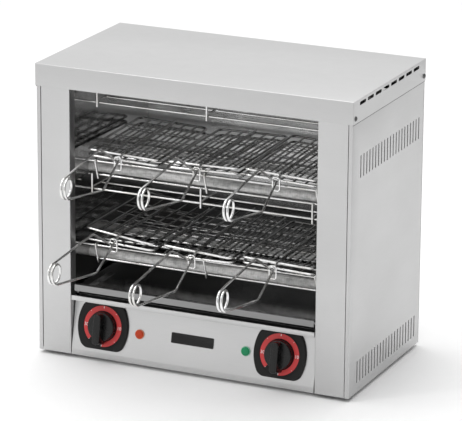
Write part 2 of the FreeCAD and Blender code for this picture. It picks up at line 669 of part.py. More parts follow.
def make_under_guard(name, height, shift, rise):
    """This guard keeps the food off the tubes above it and hangs on upright wires."""
    wires = long_wires(s.under_front, height, shift)
    for i in (-1, 0, 1):
        across = shift + i * s.guard_cross_pitch
        wires.append(rod("guard_cross", "guard_wire", "guard_pitch * (guard_count - 1) + guard_wire",
                         (across, s.under_front, height + s.guard_wire), (0, 1, 0)))
        wires.append(rod("guard_upright", "guard_wire", rise + " + hanger_tail",
                         (across, s.under_front - s.guard_wire - s.joint_gap, height - s.hanger_tail),
                         (0, 0, 1)))
    group(name, wires)


# The clamps

def coil_points():
    """The coil's centre, where the two arms touch it, and the arms' points."""
    centre = Vector(0, -s.coil_reach, s.coil_height)
    peak = Vector(0, -s.peak_reach, s.peak_height)
    bend = Vector(0, -s.bend_reach, -s.bend_depth)
    lean = []
    for point, side in ((bend, -1), (peak, 1)):
        ray = point - centre
        lean.append(math.atan2(ray.z, ray.y) + side * math.acos(s.coil_radius / ray.Length))
    return centre, peak, bend, lean[0], lean[1] - 2 * math.pi


def make_handle_with_coil():
    """The upper arm and the coil, one wire: from the coil's foot round to the lower jaw."""
    centre, peak, bend, first, last = coil_points()
    last -= 2 * math.pi
    spans = int(s.coil_spans)
    turns = [first + (last - first) * i / spans for i in range(spans + 1)]
    width = s.coil_pitch * (first - last) / (2 * math.pi)

    def at(angle):
        shift = width / 2 - s.coil_pitch * (first - angle) / (2 * math.pi)
        return centre + Vector(shift, s.coil_radius * math.cos(angle), s.coil_radius * math.sin(angle))

    def along(angle):
        return Vector(-s.coil_pitch / (2 * math.pi), s.coil_radius * math.sin(angle),
                      -s.coil_radius * math.cos(angle)).normalize()

    side = s.jaw_wire / 2 + s.arm_gap / 2
    crossing = Vector(-side, -s.crossing_reach, s.crossing_height)
    tip = Vector(-side, -s.jaw_wire / 2 - s.joint_gap, 0)
    peak.x = at(last).x + (-side - at(last).x) * (peak - at(last)).y / (crossing - at(last)).y
    leave = (peak - at(last)).normalize()
    enter = Vector(0, math.sin(first), -math.cos(first))
    foot = at(turns[0]) - enter * s.jaw_wire
    edges = [Part.LineSegment(foot, at(turns[0])).toShape()]
    for i in range(spans):
        start = enter if i == 0 else along(turns[i])
        stop = leave if i == spans - 1 else along(turns[i + 1])
        edges += biarc(at(turns[i]), start, at(turns[i + 1]), stop)
    edges += bent_path([at(last), peak, crossing, tip], s.arm_bend_radius)
    points = [at(first + (last - first) * i / 400) for i in range(401)]
    turn_back = int(400 * math.pi / abs(last - first))
    gap = min((points[i] - points[j]).Length for i in range(401) for j in range(i + turn_back, 401))
    print("least gap between the coil's turns: %.2f mm" % (gap - s.jaw_wire))
    return swept(edges, s.jaw_wire, WIRE_SIDES), foot, enter


def make_lower_handle(foot, enter):
    """The lower arm: from the coil's foot to the crossing, then along the top of the upper jaw."""
    centre, peak, bend, first, last = coil_points()
    side = s.jaw_wire / 2 + s.arm_gap / 2
    crossing = Vector(side, -s.crossing_reach, s.crossing_height)
    spine = s.jaw_gap + s.jaw_wire
    bend.x = foot.x + (side - foot.x) * (bend - foot).y / (crossing - foot).y
    points = [foot - enter * 0.1, bend, crossing, Vector(side, -s.jaw_wire, spine),
              Vector(side, s.jaw_length + s.jaw_wire / 2, spine)]
    return swept(bent_path(points, s.arm_bend_radius), s.jaw_wire, WIRE_SIDES)


def make_jaw_frame(name, height):
    """A closed frame of wire with its corners cut, swept along a drawn outline."""
    body = doc.addObject("PartDesign::Body", name)
    half = "jaw_width / 2"
    path = outline(sketch_on(body, "XY_Plane", name + "_path", height), [
        ("0", "0"), (half + " - jaw_corner", "0"), (half, "jaw_corner"), (half, "jaw_length - jaw_corner"),
        (half + " - jaw_corner", "jaw_length"), ("-%s + jaw_corner" % half, "jaw_length"),
        ("-" + half, "jaw_length - jaw_corner"), ("-" + half, "jaw_corner"),
        ("-%s + jaw_corner" % half, "0")])
    section = sketch_on(body, "YZ_Plane", name + "_section")
    radius = "jaw_wire / 2 / cos(30 deg)"
    corners = [(60 * i + 30, radius) for i in range(WIRE_SIDES)]
    outline(section, [("%s * cos(%d deg)" % (r, a - 30), "%g + %s * sin(%d deg)" % (height, r, a - 30))
                      for a, r in corners])
    doc.recompute()
    pipe = body.newObject("PartDesign::AdditivePipe", name + "_wire")
    pipe.Profile = section
    pipe.Spine = path
    pipe.Transition = "Right corner"
    return body


def make_keeper():
    """A narrow upright loop around both arms. It hangs below the crossing and ends their travel."""
    side = s.jaw_wire + s.arm_gap / 2 + s.joint_gap + s.keeper_wire / 2
    rise = (s.jaw_gap + s.jaw_wire - s.crossing_height) / (s.crossing_reach - s.jaw_wire)
    back = s.keeper_wire
    top = (s.crossing_height + rise * back + s.jaw_wire / 2 * math.hypot(1, rise)
           + s.keeper_wire / 2 + s.joint_gap)
    fall = s.crossing_height / (s.crossing_reach - s.jaw_wire / 2 - s.joint_gap)
    bottom = (s.crossing_height - fall * back - s.jaw_wire / 2 * math.hypot(1, fall)
              - s.keeper_wire / 2 - s.keeper_travel - s.joint_gap)
    cut = 0.6 * side
    points = [(0, top), (side - cut, top), (side, top - cut), (side, bottom + cut), (side - cut, bottom),
              (cut - side, bottom), (-side, bottom + cut), (-side, top - cut), (cut - side, top), (0, top)]
    return mitred([Vector(x, back - s.crossing_reach, z) for x, z in points], s.keeper_wire)


def make_grid(name, height, outward):
    """The thin wires of a jaw: long ones inside, cross ones outside, between the frame's sides."""
    wires = []
    inset = 0.6 * s.jaw_wire
    layer = s.grid_wire / 2 * outward
    for i in range(int(s.grid_long_count)):
        across = (i - (s.grid_long_count - 1) / 2) * s.grid_pitch
        wires.append(rod("grid_long", "grid_wire", "jaw_length - 1.2 * jaw_wire",
                         (across, inset, height - layer), (0, 1, 0), GRID_SIDES))
    for i in range(int(s.grid_cross_count)):
        depth = (i + 1) * s.jaw_length / (s.grid_cross_count + 1)
        wires.append(rod("grid_cross", "grid_wire", "jaw_width - 1.2 * jaw_wire",
                         (inset - s.jaw_width / 2, depth, height + layer), (1, 0, 0), GRID_SIDES))
    return group(name, wires)


def make_clamps():
    """Six clamps. Each has a fixed half with the coil and a moving half that the coil carries."""
    coil_handle, foot, enter = make_handle_with_coil()
    lower_handle = make_lower_handle(foot, enter)
    keeper = make_keeper()
    centre = Vector(0, -s.coil_reach, s.coil_height)
    for name, (tier, column, right, back, up, turn, tip, gap) in CLAMPS.items():
        height = REST[tier] + 1.5 * s.guard_wire + s.joint_gap + s.jaw_wire / 2 + up
        place = Placement(Vector(column * s.clamp_pitch + right, s.clamp_front + back, height),
                          Rotation(Vector(0, 0, 1), turn) * Rotation(Vector(1, 0, 0), tip))
        parting = math.degrees(math.asin((gap - s.jaw_gap) / s.coil_reach))
        swing = place * Placement(Vector(0, 0, 0), Rotation(Vector(1, 0, 0), parting), centre)
        handle = doc.addObject("Part::Feature", name + "_coil_wire")
        handle.Shape = coil_handle
        arm = doc.addObject("Part::Feature", name + "_arm_wire")
        arm.Shape = lower_handle
        loop = doc.addObject("Part::Feature", name + "_keeper_wire")
        loop.Shape = keeper
        lower = group(name + "_lower_frame", [make_jaw_frame(name + "_lower_ring", 0.0), handle])
        upper = group(name + "_upper_frame", [make_jaw_frame(name + "_upper_ring", s.jaw_gap), arm, loop])
        lower.Placement = place
        make_grid(name + "_lower_grid", 0.0, -1).Placement = place
        upper.Placement = swing
        make_grid(name + "_upper_grid", s.jaw_gap, 1).Placement = swing
        joints[name] = (place.multVec(centre), turn)


# The crumb tray and the controls

def make_tray():
    """A shallow pan whose front is folded into a lip to pull it by."""
    body = doc.addObject("PartDesign::Body", "crumb_tray")
    front = "(tray_front + lip_depth)"
    rear = "(tray_front + tray_depth)"
    floor = "(bar_top + sheet + joint_gap)"
    section = outline(sketch_on(body, "YZ_Plane", "tray_section"), [
        (rear, floor), (rear, floor + " + tray_wall"), (rear + " - liner", floor + " + tray_wall"),
        (rear + " - liner", floor + " + liner"), (front + " + liner", floor + " + liner"),
        (front + " + liner", "lip_top"), ("tray_front", "lip_top"), ("tray_front", "lip_bottom"),
        ("tray_front + liner", "lip_bottom"), ("tray_front + liner", "lip_top - liner"),
        (front, "lip_top - liner"), (front, floor)])
    feature(body, "Pad", section, "tray_fold", Length="tray_width", Midplane=True)
    for tag, sign in (("left", "-"), ("right", "")):
        edge = "%s(tray_width / 2)" % sign
        inside = "%s(tray_width / 2 - liner)" % sign
        wall = outline(sketch_on(body, "XY_Plane", "tray_wall_" + tag, s.bar_top + s.sheet + s.joint_gap),
                       box_corners(edge, inside, front + " + liner / 2", rear))
        feature(body, "Pad", wall, "tray_side_" + tag, Length="tray_wall")
    finish("crumb_tray", body)


def barrel_corners():
    """The corners of a dial plate, for outline(): flat above and below, with bulging sides."""
    middle = s.dial_radius - s.dial_bulge
    flat = s.dial_height / 2 - s.dial_corner
    inset = s.dial_bulge - s.dial_corner
    corner = middle + math.sqrt(inset ** 2 - flat ** 2)
    turn = math.asin(flat / inset)
    quarter = [(middle + s.dial_bulge * math.cos(turn * i / 3), s.dial_bulge * math.sin(turn * i / 3))
               for i in range(3)]
    for i in range(4):
        angle = turn + (math.pi / 2 - turn) * i / 3
        quarter.append((corner + s.dial_corner * math.cos(angle), flat + s.dial_corner * math.sin(angle)))
    half = quarter + [(-x, y) for x, y in reversed(quarter)]
    ring = half + [(-x, -y) for x, y in half[1:-1]]
    return [("%g" % x, "%g" % y) for x, y in ring]


def make_dials():
    """Two black dial plates, flat above and below, with a shallow well for the knob."""
    plates = []
    for across in (KNOB_LEFT, KNOB_RIGHT):
        body = doc.addObject("PartDesign::Body", "dial_plate")
        plate = outline(sketch_on(body, "XY_Plane", "dial_outline"), barrel_corners())
        feature(body, "Pad", plate, "dial_pad", Length="dial_thickness")
        doc.recompute()
        well = outline(sketch_on(body, "XY_Plane", "dial_well_line", s.dial_thickness),
                       ring_corners("0", "0", "dial_well", 24))
        feature(body, "Pocket", well, "dial_well_cut", Length="dial_well_depth")
        hole = outline(sketch_on(body, "XY_Plane", "dial_hole", s.dial_thickness),
                       ring_corners("0", "0", "shaft_radius + 1", 8))
        feature(body, "Pocket", hole, "dial_shaft_hole", Type="ThroughAll")
        body.Placement = on_panel(across, s.knob_height)
        plates.append(body)
    group("dial_plates", plates)


def make_knob(name, across):
    """A knob with a many-sided skirt and a bar to grip, on its own shaft."""
    body = doc.addObject("PartDesign::Body", name)
    base = s.dial_thickness - s.dial_well_depth + s.joint_gap
    skirt = sketch_on(body, "XY_Plane", name + "_skirt", base)
    outline(skirt, ring_corners("0", "0", "knob_radius", int(s.knob_sides)))
    feature(body, "Pad", skirt, name + "_disc", Length="knob_skirt", TaperAngle=-6.0)
    grip = outline(sketch_on(body, "XY_Plane", name + "_grip", base), [
        ("-knob_grip / 2", "3 - knob_pointer"), ("0", "-knob_pointer"), ("knob_grip / 2", "3 - knob_pointer"),
        ("knob_grip / 2", "knob_radius - 4"), ("0", "knob_radius - 1.5"),
        ("-knob_grip / 2", "knob_radius - 4")])
    feature(body, "Pad", grip, name + "_bar", Length="knob_reach - dial_thickness", TaperAngle=-3.0)
    doc.recompute()
    bore = circle(sketch_on(body, "XY_Plane", name + "_bore", base), "0", "0", "shaft_radius")
    feature(body, "Pocket", bore, name + "_shaft_bore", Length="knob_skirt", Reversed=True)
    body.Placement = on_panel(across, s.knob_height)
    finish(name, body)


def make_timer(tag, across):
    """A clockwork timer behind the panel, with a bearing for the shaft that carries the knob."""
    half = s.timer_size / 2
    inside = s.sheet * math.cos(math.radians(SLOPE))
    block = doc.addObject("Part::Box", "timer_block")
    bind(block, Length="timer_size", Width="timer_size", Height="timer_depth")
    block.Placement = on_panel(across, s.knob_height, -inside - s.timer_depth) * Placement(
        Vector(-half, -half, 0), Rotation())
    bore = doc.addObject("Part::Cylinder", "timer_bore")
    bind(bore, Radius="shaft_radius + shaft_fit", Height="timer_bearing + sheet")
    bore.Placement = on_panel(across, s.knob_height, -inside - s.timer_bearing)
    timer = doc.addObject("Part::Cut", "timer_" + tag)
    timer.Base = block
    timer.Tool = bore
    finish("timer_" + tag, timer)
    shaft = doc.addObject("Part::Cylinder", "shaft")
    bind(shaft, Radius="shaft_radius",
         Height="timer_bearing - 1 + dial_thickness - dial_well_depth + joint_gap + knob_skirt - 0.5")
    shaft.Placement = on_panel(across, s.knob_height, -s.sheet - s.timer_bearing + 1)
    finish("timer_shaft_" + tag, shaft)


def make_lamp(name, across):
    """A pilot lamp: a faceted lens on a rim outside the panel and a barrel behind it."""
    body = doc.addObject("PartDesign::Body", name)
    rim = outline(sketch_on(body, "XY_Plane", name + "_rim"), ring_corners("0", "0", "lamp_radius", 16))
    feature(body, "Pad", rim, name + "_rim_pad", Length="lamp_rim")
    lens = outline(sketch_on(body, "XY_Plane", name + "_lens", s.lamp_rim),
                   ring_corners("0", "0", "lamp_radius - 0.8", 16))
    feature(body, "Pad", lens, name + "_lens_pad", Length="lamp_lens")
    barrel = outline(sketch_on(body, "XY_Plane", name + "_barrel"), ring_corners("0", "0", "lamp_barrel", 12))
    feature(body, "Pad", barrel, name + "_barrel_pad", Length="lamp_length", Reversed=True)
    body.Placement = on_panel(across, s.lamp_height)
    finish(name, body)


def make_fittings():
    """Cable gland, terminal block and the screws of the cabinet."""
    place = Placement(Vector(s.gland_offset, s.body_depth, s.gland_height), Rotation(Vector(1, 0, 0), -90))
    sleeve = rod("gland_sleeve", "2 * gland_radius", "gland_length", (0, 0, 0), (0, 0, 1), 12)
    nut = rod("gland_hex", "2 * gland_nut * cos(30 deg)", "gland_length / 3", (0, 0, 0), (0, 0, 1))
    solid = doc.addObject("Part::Fuse", "gland_solid")
    solid.Base = sleeve
    solid.Tool = nut
    bore = doc.addObject("Part::Cylinder", "gland_bore_tool")
    bind(bore, Radius="gland_bore", Height="gland_length + 2")
    bore.Placement = Placement(Vector(0, 0, -1), Rotation())
    gland = doc.addObject("Part::Cut", "cable_gland")
    gland.Base = solid
    gland.Tool = bore
    gland.Placement = place
    finish("cable_gland", gland)
    finish("terminal_block", box("terminal_block", (s.gland_offset - 45, s.body_depth - 60, s.sheet),
                                 Length="50", Width="22", Height="20"))
    screws = []
    side = s.body_width / 2 + s.cover_gap + s.cover_sheet
    height = s.body_height - 23
    for depth in (s.screw_radius + 1, s.body_depth - s.screw_radius - 1):
        for way in (1, -1):
            screws.append(rod("cover_screw", "2 * screw_radius", "screw_head",
                              (way * side, depth, height), (way, 0, 0), 8))
    for across in (-s.body_width / 2 + 7, 0, s.body_width / 2 - 7):
        for height in (12, s.body_height - s.cover_skirt - 12):
            screws.append(rod("rear_screw", "2 * screw_radius", "screw_head",
                              (across, s.body_depth, height), (0, 1, 0), 8))
    group("screws", screws)


# Build every sub-part
joints = {}
make_cover()
make_side_panel("side_panel_left", -1)
make_side_panel("side_panel_right", 1)
make_rear_panel()
make_base_plate()
make_front_frame()
make_control_panel()
make_feet()
make_chamber()
make_tubes()
make_rest_guard("rest_guard_middle", REST["middle"])
make_rest_guard("rest_guard_low", REST["low"])
make_under_guard("under_guard_top", UNDER["top"], s.rest_shift,
                 "chamber_top - row_low - 2 * row_pitch + under_drop")
make_under_guard("under_guard_middle", UNDER["middle"], s.under_shift, "hanger_rise")
make_clamps()
make_tray()
make_dials()
make_knob("knob_left", KNOB_LEFT)
make_knob("knob_right", KNOB_RIGHT)
make_timer("left", KNOB_LEFT)
make_timer("right", KNOB_RIGHT)
make_lamp("lamp_orange", LAMP_LEFT)
make_lamp("lamp_green", LAMP_RIGHT)
make_fittings()
doc.recompute()

# Nothing is written unless every object is sound
faults = [thing.Name for thing in doc.Objects if {"Invalid", "Error"} & set(thing.State)]
faults += [name for name, thing in parts.items() if thing.Shape.isNull() or not thing.Shape.isValid()]
if faults:
    raise RuntimeError("not sound: " + ", ".join(faults))

# Move everything so that the origin is under the middle of the object
whole = [thing.Shape.optimalBoundingBox() for thing in parts.values()]
front = min(limits.YMin for limits in whole)
rear = max(limits.YMax for limits in whole)
world = Placement(Vector(0, -(front + rear) / 2, s.foot_height), Rotation())
for thing in parts.values():
    thing.Placement = world * thing.Placement
doc.recompute()

os.makedirs("parts", exist_ok=True)
for name, thing in sorted(parts.items()):
    thing.Shape.exportStep("parts/%s.step" % name)
print(len(parts), "sub-parts,", sum(len(thing.Shape.Solids) for thing in parts.values()), "solids")
print("front face at y = %.3f, panel slope %.3f degrees" % (world.Base.y, SLOPE))
for name, (centre, turn) in joints.items():
    spot = world.multVec(centre)
    print("%s coil centre %.3f %.3f %.3f turned %.2f degrees" % (name, spot.x, spot.y, spot.z, turn))
for across in (KNOB_LEFT, KNOB_RIGHT):
    spot = world.multVec(on_panel(across, s.knob_height).Base)
    print("knob axis through %.3f %.3f %.3f" % (spot.x, spot.y, spot.z))
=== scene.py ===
# %% [markdown]
# Clamp toaster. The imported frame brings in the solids, where each one is and how it moves. This lesson
# dresses them: every visible piece gets its real form and finish, and stays where its solid is.

# %% The frame
import math
import json
import bpy
from mathutils import Matrix, Vector


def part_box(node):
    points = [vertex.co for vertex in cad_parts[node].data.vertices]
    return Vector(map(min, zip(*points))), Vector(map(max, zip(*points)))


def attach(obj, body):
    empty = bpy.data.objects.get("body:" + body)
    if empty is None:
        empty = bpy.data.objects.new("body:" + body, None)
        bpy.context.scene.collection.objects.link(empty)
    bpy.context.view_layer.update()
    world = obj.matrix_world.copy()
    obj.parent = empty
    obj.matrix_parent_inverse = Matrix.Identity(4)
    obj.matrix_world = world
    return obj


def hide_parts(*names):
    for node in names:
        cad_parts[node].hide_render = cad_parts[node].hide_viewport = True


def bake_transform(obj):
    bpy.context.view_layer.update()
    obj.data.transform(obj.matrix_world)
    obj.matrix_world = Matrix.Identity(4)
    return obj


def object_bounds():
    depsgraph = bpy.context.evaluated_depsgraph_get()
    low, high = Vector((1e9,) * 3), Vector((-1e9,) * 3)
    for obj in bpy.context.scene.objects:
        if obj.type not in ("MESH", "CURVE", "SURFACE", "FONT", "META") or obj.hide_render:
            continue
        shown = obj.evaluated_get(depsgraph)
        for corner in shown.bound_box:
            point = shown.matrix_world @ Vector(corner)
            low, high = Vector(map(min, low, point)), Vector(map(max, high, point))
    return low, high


MM = 0.001
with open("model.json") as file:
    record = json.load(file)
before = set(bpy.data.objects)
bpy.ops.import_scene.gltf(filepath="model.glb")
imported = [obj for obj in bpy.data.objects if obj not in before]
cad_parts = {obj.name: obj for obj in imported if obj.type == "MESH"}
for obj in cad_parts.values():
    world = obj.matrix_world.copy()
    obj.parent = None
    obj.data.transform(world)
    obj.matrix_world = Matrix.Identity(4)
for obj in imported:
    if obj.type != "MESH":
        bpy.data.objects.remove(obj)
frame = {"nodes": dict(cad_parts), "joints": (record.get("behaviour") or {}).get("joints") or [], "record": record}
nodes = frame["nodes"]
joints = {joint["name"]: joint for joint in frame["joints"]}
cad_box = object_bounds()
front_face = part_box("front_frame")[0].y
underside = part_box("base_plate")[0].z
print("solids span", cad_box, "front face", front_face, "underside", underside)


def at(across, back, up):
    """A point in the frame from millimetres: from the middle, from the front face, from the underside."""
    return Vector((across * MM, front_face + back * MM, underside + up * MM))


# %% [markdown]
# The camera stands where the photographer stood. Its place, its turn and its long lens come from the
# cabinet's edges: they run to far vanishing points, so the lens is long and the camera far away.

# %% Camera
CAMERA_PLACE = (1.68308, -3.61744, 1.44125)
CAMERA_TURN = (72.9216, -0.3778, 24.6095)
camera_data = bpy.data.cameras.new("camera")
camera_data.lens = 249.146
camera_data.sensor_width = 36
camera_data.clip_end = 50
camera = bpy.data.objects.new("camera", camera_data)
bpy.context.scene.collection.objects.link(camera)
camera.location = CAMERA_PLACE
camera.rotation_euler = [math.radians(turn) for turn in CAMERA_TURN]
bpy.context.scene.camera = camera

# %% [markdown]
# A shader is a net of small nodes. Each helper adds a node or a few and returns the output, so that a
# finish reads like a formula. Patterns are noise on Object coordinates and move with their piece.

# %% Shader nodes by hand


def coordinate(tree, space, axis):
    """One axis of a space's coordinates."""
    place = tree.nodes.new("ShaderNodeTexCoord")
    parts = tree.nodes.new("ShaderNodeSeparateXYZ")
    tree.links.new(place.outputs[space], parts.inputs["Vector"])
    return parts.outputs[axis]


def noise(tree, scale, detail, stretch=(1, 1, 1), offset=(0, 0, 0)):
    """Noise on Object coordinates, drawn out by a Mapping node."""
    place = tree.nodes.new("ShaderNodeTexCoord")
    mapping = tree.nodes.new("ShaderNodeMapping")
    mapping.inputs["Scale"].default_value = stretch
    mapping.inputs["Location"].default_value = offset
    texture = tree.nodes.new("ShaderNodeTexNoise")
    texture.inputs["Scale"].default_value = scale
    texture.inputs["Detail"].default_value = detail
    tree.links.new(place.outputs["Object"], mapping.inputs["Vector"])
    tree.links.new(mapping.outputs["Vector"], texture.inputs["Vector"])
    return texture.outputs["Fac"]


def spread(tree, value, low, high, start=0.3, stop=0.7, kind="LINEAR"):
    """Maps a value between start and stop to the range low to high."""
    node = tree.nodes.new("ShaderNodeMapRange")
    node.interpolation_type = kind
    for socket, limit in (("From Min", start), ("From Max", stop), ("To Min", low), ("To Max", high)):
        node.inputs[socket].default_value = limit
    tree.links.new(value, node.inputs["Value"])
    return node.outputs["Result"]


def arithmetic(tree, operation, first, second=0):
    """A Math node on a socket and a number, or on two sockets."""
    node = tree.nodes.new("ShaderNodeMath")
    node.operation = operation
    tree.links.new(first, node.inputs[0])
    if isinstance(second, (int, float)):
        node.inputs[1].default_value = second
    else:
        tree.links.new(second, node.inputs[1])
    return node.outputs[0]


def weighed(tree, first, second, share):
    """The first value by its share plus the second by the rest."""
    return arithmetic(tree, "ADD", arithmetic(tree, "MULTIPLY", first, share),
                      arithmetic(tree, "MULTIPLY", second, 1 - share))


def blended(tree, share, first, second):
    """A colour between two colours or colour sockets."""
    node = tree.nodes.new("ShaderNodeMix")
    node.data_type = "RGBA"
    tree.links.new(share, node.inputs["Factor"])
    for socket, value in ((node.inputs[6], first), (node.inputs[7], second)):
        if isinstance(value, tuple):
            socket.default_value = (*value, 1)
        else:
            tree.links.new(value, socket)
    return node.outputs[2]


def bumped(tree, height, distance):
    """The normal of a fine relief."""
    node = tree.nodes.new("ShaderNodeBump")
    node.inputs["Distance"].default_value = distance
    tree.links.new(height, node.inputs["Height"])
    return node.outputs["Normal"]


# %% [markdown]
# Steel shows what is around it, so the room matters more than the lamps. The object stands on white
# paper in an almost evenly bright room, so its sheets are pale. The room is dimmer on the right, which
# makes the side panel darker than the front.

# %% Room, soft boxes and floor
bpy.context.scene.view_settings.view_transform = "Standard"
world = bpy.data.worlds.new("studio")
world.use_nodes = True
bpy.context.scene.world = world
room = world.node_tree
depth = spread(room, coordinate(room, "Generated", "Y"), 0.97, 1.05, -0.55, 0.25, "SMOOTHSTEP")
width = spread(room, coordinate(room, "Generated", "X"), 1.0, 0.5, 0.15, 0.5, "SMOOTHSTEP")
background = room.nodes["Background"].inputs
room.links.new(arithmetic(room, "MULTIPLY", depth, width), background["Strength"])
background["Color"].default_value = (1, 1, 1, 1)


def soft_box(name, place, aim, width, height, power):
    """A rectangular area light that faces a point."""
    data = bpy.data.lights.new(name, "AREA")
    data.shape = "RECTANGLE"
    data.size = width
    data.size_y = height
    data.energy = power
    light = bpy.data.objects.new(name, data)
    bpy.context.scene.collection.objects.link(light)
    light.location = place
    light.rotation_euler = (Vector(aim) - Vector(place)).to_track_quat("-Z", "Y").to_euler()


soft_box("overhead", (-0.2, 0.3, 2.4), (0, 0.1, 0), 2.6, 2.2, 28)
soft_box("front_left", (-1.4, -1.6, 1.9), (0, 0, 0.2), 0.3, 1.0, 7)

bpy.ops.object.select_all(action="DESELECT")
bpy.ops.mesh.primitive_grid_add(x_subdivisions=8, y_subdivisions=8, size=14, location=(0, 2, 0))
floor = bpy.context.object
floor.name = "floor"

# %% [markdown]
# No finish is one flat colour. What several share is a node group, built once: the grain of rolled
# sheet, the tint of heated wire and the skin of moulded plastic. Each material gives it its own values.

# %% Shared effects


def effect_group(name, *sockets):
    """A node group that takes two colours, a roughness and the change in it."""
    tree = bpy.data.node_groups.new(name, "ShaderNodeTree")
    for socket, kind in zip(sockets, ("Color", "Color", "Float", "Float")):
        tree.interface.new_socket(name=socket, in_out="INPUT", socket_type="NodeSocket" + kind)
    for socket, kind in (("Color", "Color"), ("Roughness", "Float"), ("Normal", "Vector")):
        tree.interface.new_socket(name=socket, in_out="OUTPUT", socket_type="NodeSocket" + kind)
    return tree


def wired(tree, tint, wear, relief, depth):
    """Ends a group: the tint mixes its colours, wear moves its roughness and a relief tilts it."""
    given = tree.nodes.new("NodeGroupInput").outputs
    result = tree.nodes.new("NodeGroupOutput").inputs
    change = arithmetic(tree, "MULTIPLY", given[3], spread(tree, wear, -1, 1))
    tree.links.new(blended(tree, tint, given[0], given[1]), result["Color"])
    tree.links.new(arithmetic(tree, "ADD", given[2], change), result["Roughness"])
    tree.links.new(bumped(tree, relief, depth), result["Normal"])
    return tree


# %% [markdown]
# Cold rolled sheet has a grain of fine lines along the roll, and broad soft patches where hands and
# cloths have been. The grain also moves the roughness up and down and tilts the surface a little.

# %% Grain of rolled sheet
tree = effect_group("rolled_grain", "Metal", "Shade", "Polish", "Dulling")
lines = noise(tree, 40, 4, (1, 1, 26))
patches = noise(tree, 9, 3, offset=(3, 1, 2))
smears = noise(tree, 34, 5, (0.25, 0.25, 1), (7, 2, 5))
tone = weighed(tree, weighed(tree, patches, smears, 0.65), lines, 0.7)
rolled_grain = wired(tree, spread(tree, tone, 0, 1), tone, lines, 0.04 * MM)

# %% [markdown]
# Bright wire near a glowing tube takes on straw and grey tints, which change every few centimetres. It
# also keeps faint scuffs from use.

# %% Tint of heated wire
tree = effect_group("heat_tint", "Metal", "Tint", "Polish", "Dulling")
bands = noise(tree, 38, 3, offset=(2, 4, 1))
scuffs = noise(tree, 420, 3, (1, 0.4, 1))
heat_tint = wired(tree, spread(tree, bands, 0, 1, 0.42, 0.68), scuffs, scuffs, 0.02 * MM)

# %% [markdown]
# Moulded plastic and rubber come out of the tool with a fine even skin. Dust and rubbed places change
# its gloss in soft patches.

# %% Skin of moulded plastic
tree = effect_group("moulded_skin", "Body", "Dust", "Gloss", "Rubbing")
pores = noise(tree, 2600, 2)
clouds = noise(tree, 55, 4, offset=(5, 3, 8))
moulded_skin = wired(tree, spread(tree, clouds, 0, 1, 0.35, 0.75), clouds, pores, 0.03 * MM)
print("shared effects:", [tree.name for tree in bpy.data.node_groups])

# %% [markdown]
# A finish is one group node and one Principled shader. Steel takes the grain, wire the tint, and plastic,
# rubber and ceramic the skin. Metallic and gloss are the same all over, so they are set on the shader.

# %% Finishes
finishes = {}


def finish_of(name, effect, metallic, first, second, roughness, change, gloss=0.5):
    """A material: the effect's group with its values, wired to a Principled shader."""
    colours = [colour if isinstance(colour, tuple) else (colour,) * 3 for colour in (first, second)]
    material = bpy.data.materials.new(name)
    material.use_nodes = True
    tree = material.node_tree
    shader = tree.nodes["Principled BSDF"].inputs
    node = tree.nodes.new("ShaderNodeGroup")
    node.node_tree = effect
    for socket, value in zip(node.inputs, ((*colours[0], 1), (*colours[1], 1), roughness, change)):
        socket.default_value = value
    for output, socket in (("Color", "Base Color"), ("Roughness", "Roughness"), ("Normal", "Normal")):
        tree.links.new(node.outputs[output], shader[socket])
    shader["Metallic"].default_value = metallic
    shader["Specular IOR Level"].default_value = gloss
    finishes[name] = material


# Finish: two colours, where a grey is one number, the roughness, its change and the level of the gloss
STEELS = {
    "cabinet_steel": (0.56, 0.53, 0.38, 0.05),
    "chamber_steel": (0.50, (0.45, 0.445, 0.44), 0.09, 0.03),
    "reflector_steel": (0.82, 0.74, 0.28, 0.05),
    "tray_steel": (0.50, 0.43, 0.10, 0.05),
    # The tray's lip is a darker copy of the tray's steel: painted shade.
    "shaded_lip_steel": (0.27, 0.22, 0.05, 0.02),
    "screw_steel": (0.16, 0.10, 0.34, 0.08),
    "shaft_steel": (0.55, 0.48, 0.22, 0.05)}
WIRES = {
    "clamp_wire": (0.86, (0.70, 0.69, 0.67), 0.07, 0.03),
    # The grids' wire is darker as painted shade, for the dark chamber it reflects.
    "grid_wire": (0.34, (0.24, 0.235, 0.225), 0.09, 0.03),
    "guard_wire": (0.72, (0.55, 0.54, 0.52), 0.12, 0.05),
    "element_wire": ((0.18, 0.16, 0.15), (0.10, 0.09, 0.09), 0.5, 0.1)}
MOULDINGS = {
    "print_red": ((0.56, 0.028, 0.030), (0.48, 0.03, 0.03), 0.42, 0.05),
    "print_white": (0.75, (0.62, 0.58, 0.58), 0.45, 0.05),
    "orange_rim": ((0.72, 0.24, 0.12), (0.60, 0.17, 0.08), 0.25, 0.05),
    "green_rim": ((0.22, 0.60, 0.40), (0.15, 0.48, 0.30), 0.25, 0.05),
    "timer_housing": ((0.55, 0.52, 0.45), (0.48, 0.45, 0.40), 0.5, 0.08),
    "terminal_plastic": ((0.62, 0.61, 0.57), (0.5, 0.49, 0.46), 0.5, 0.08),
    "gland_plastic": (0.015, 0.03, 0.42, 0.08),
    "foot_rubber": (0.018, 0.05, 0.75, 0.1),
    "ceramic": ((0.74, 0.72, 0.67), (0.62, 0.59, 0.54), 0.7, 0.1),
    "floor_paper": (0.96, 0.95, 0.7, 0.02),
    "dial_plastic": (0.004, 0.008, 0.42, 0.06, 0.25),
    "knob_plastic": (0.003, 0.007, 0.26, 0.05, 0.35),
    "badge_plastic": (0.004, 0.007, 0.2, 0.05, 0.3),
    "orange_lens": ((0.50, 0.045, 0.006), (0.34, 0.025, 0.004), 0.2, 0.04, 0.3),
    "green_lens": ((0.006, 0.26, 0.10), (0.005, 0.18, 0.07), 0.2, 0.04, 0.3)}
for looks, effect, metallic in (
        (STEELS, rolled_grain, 1), (WIRES, heat_tint, 1), (MOULDINGS, moulded_skin, 0)):
    for name, look in looks.items():
        finish_of(name, effect, metallic, *look)
floor.data.materials.append(finishes["floor_paper"])
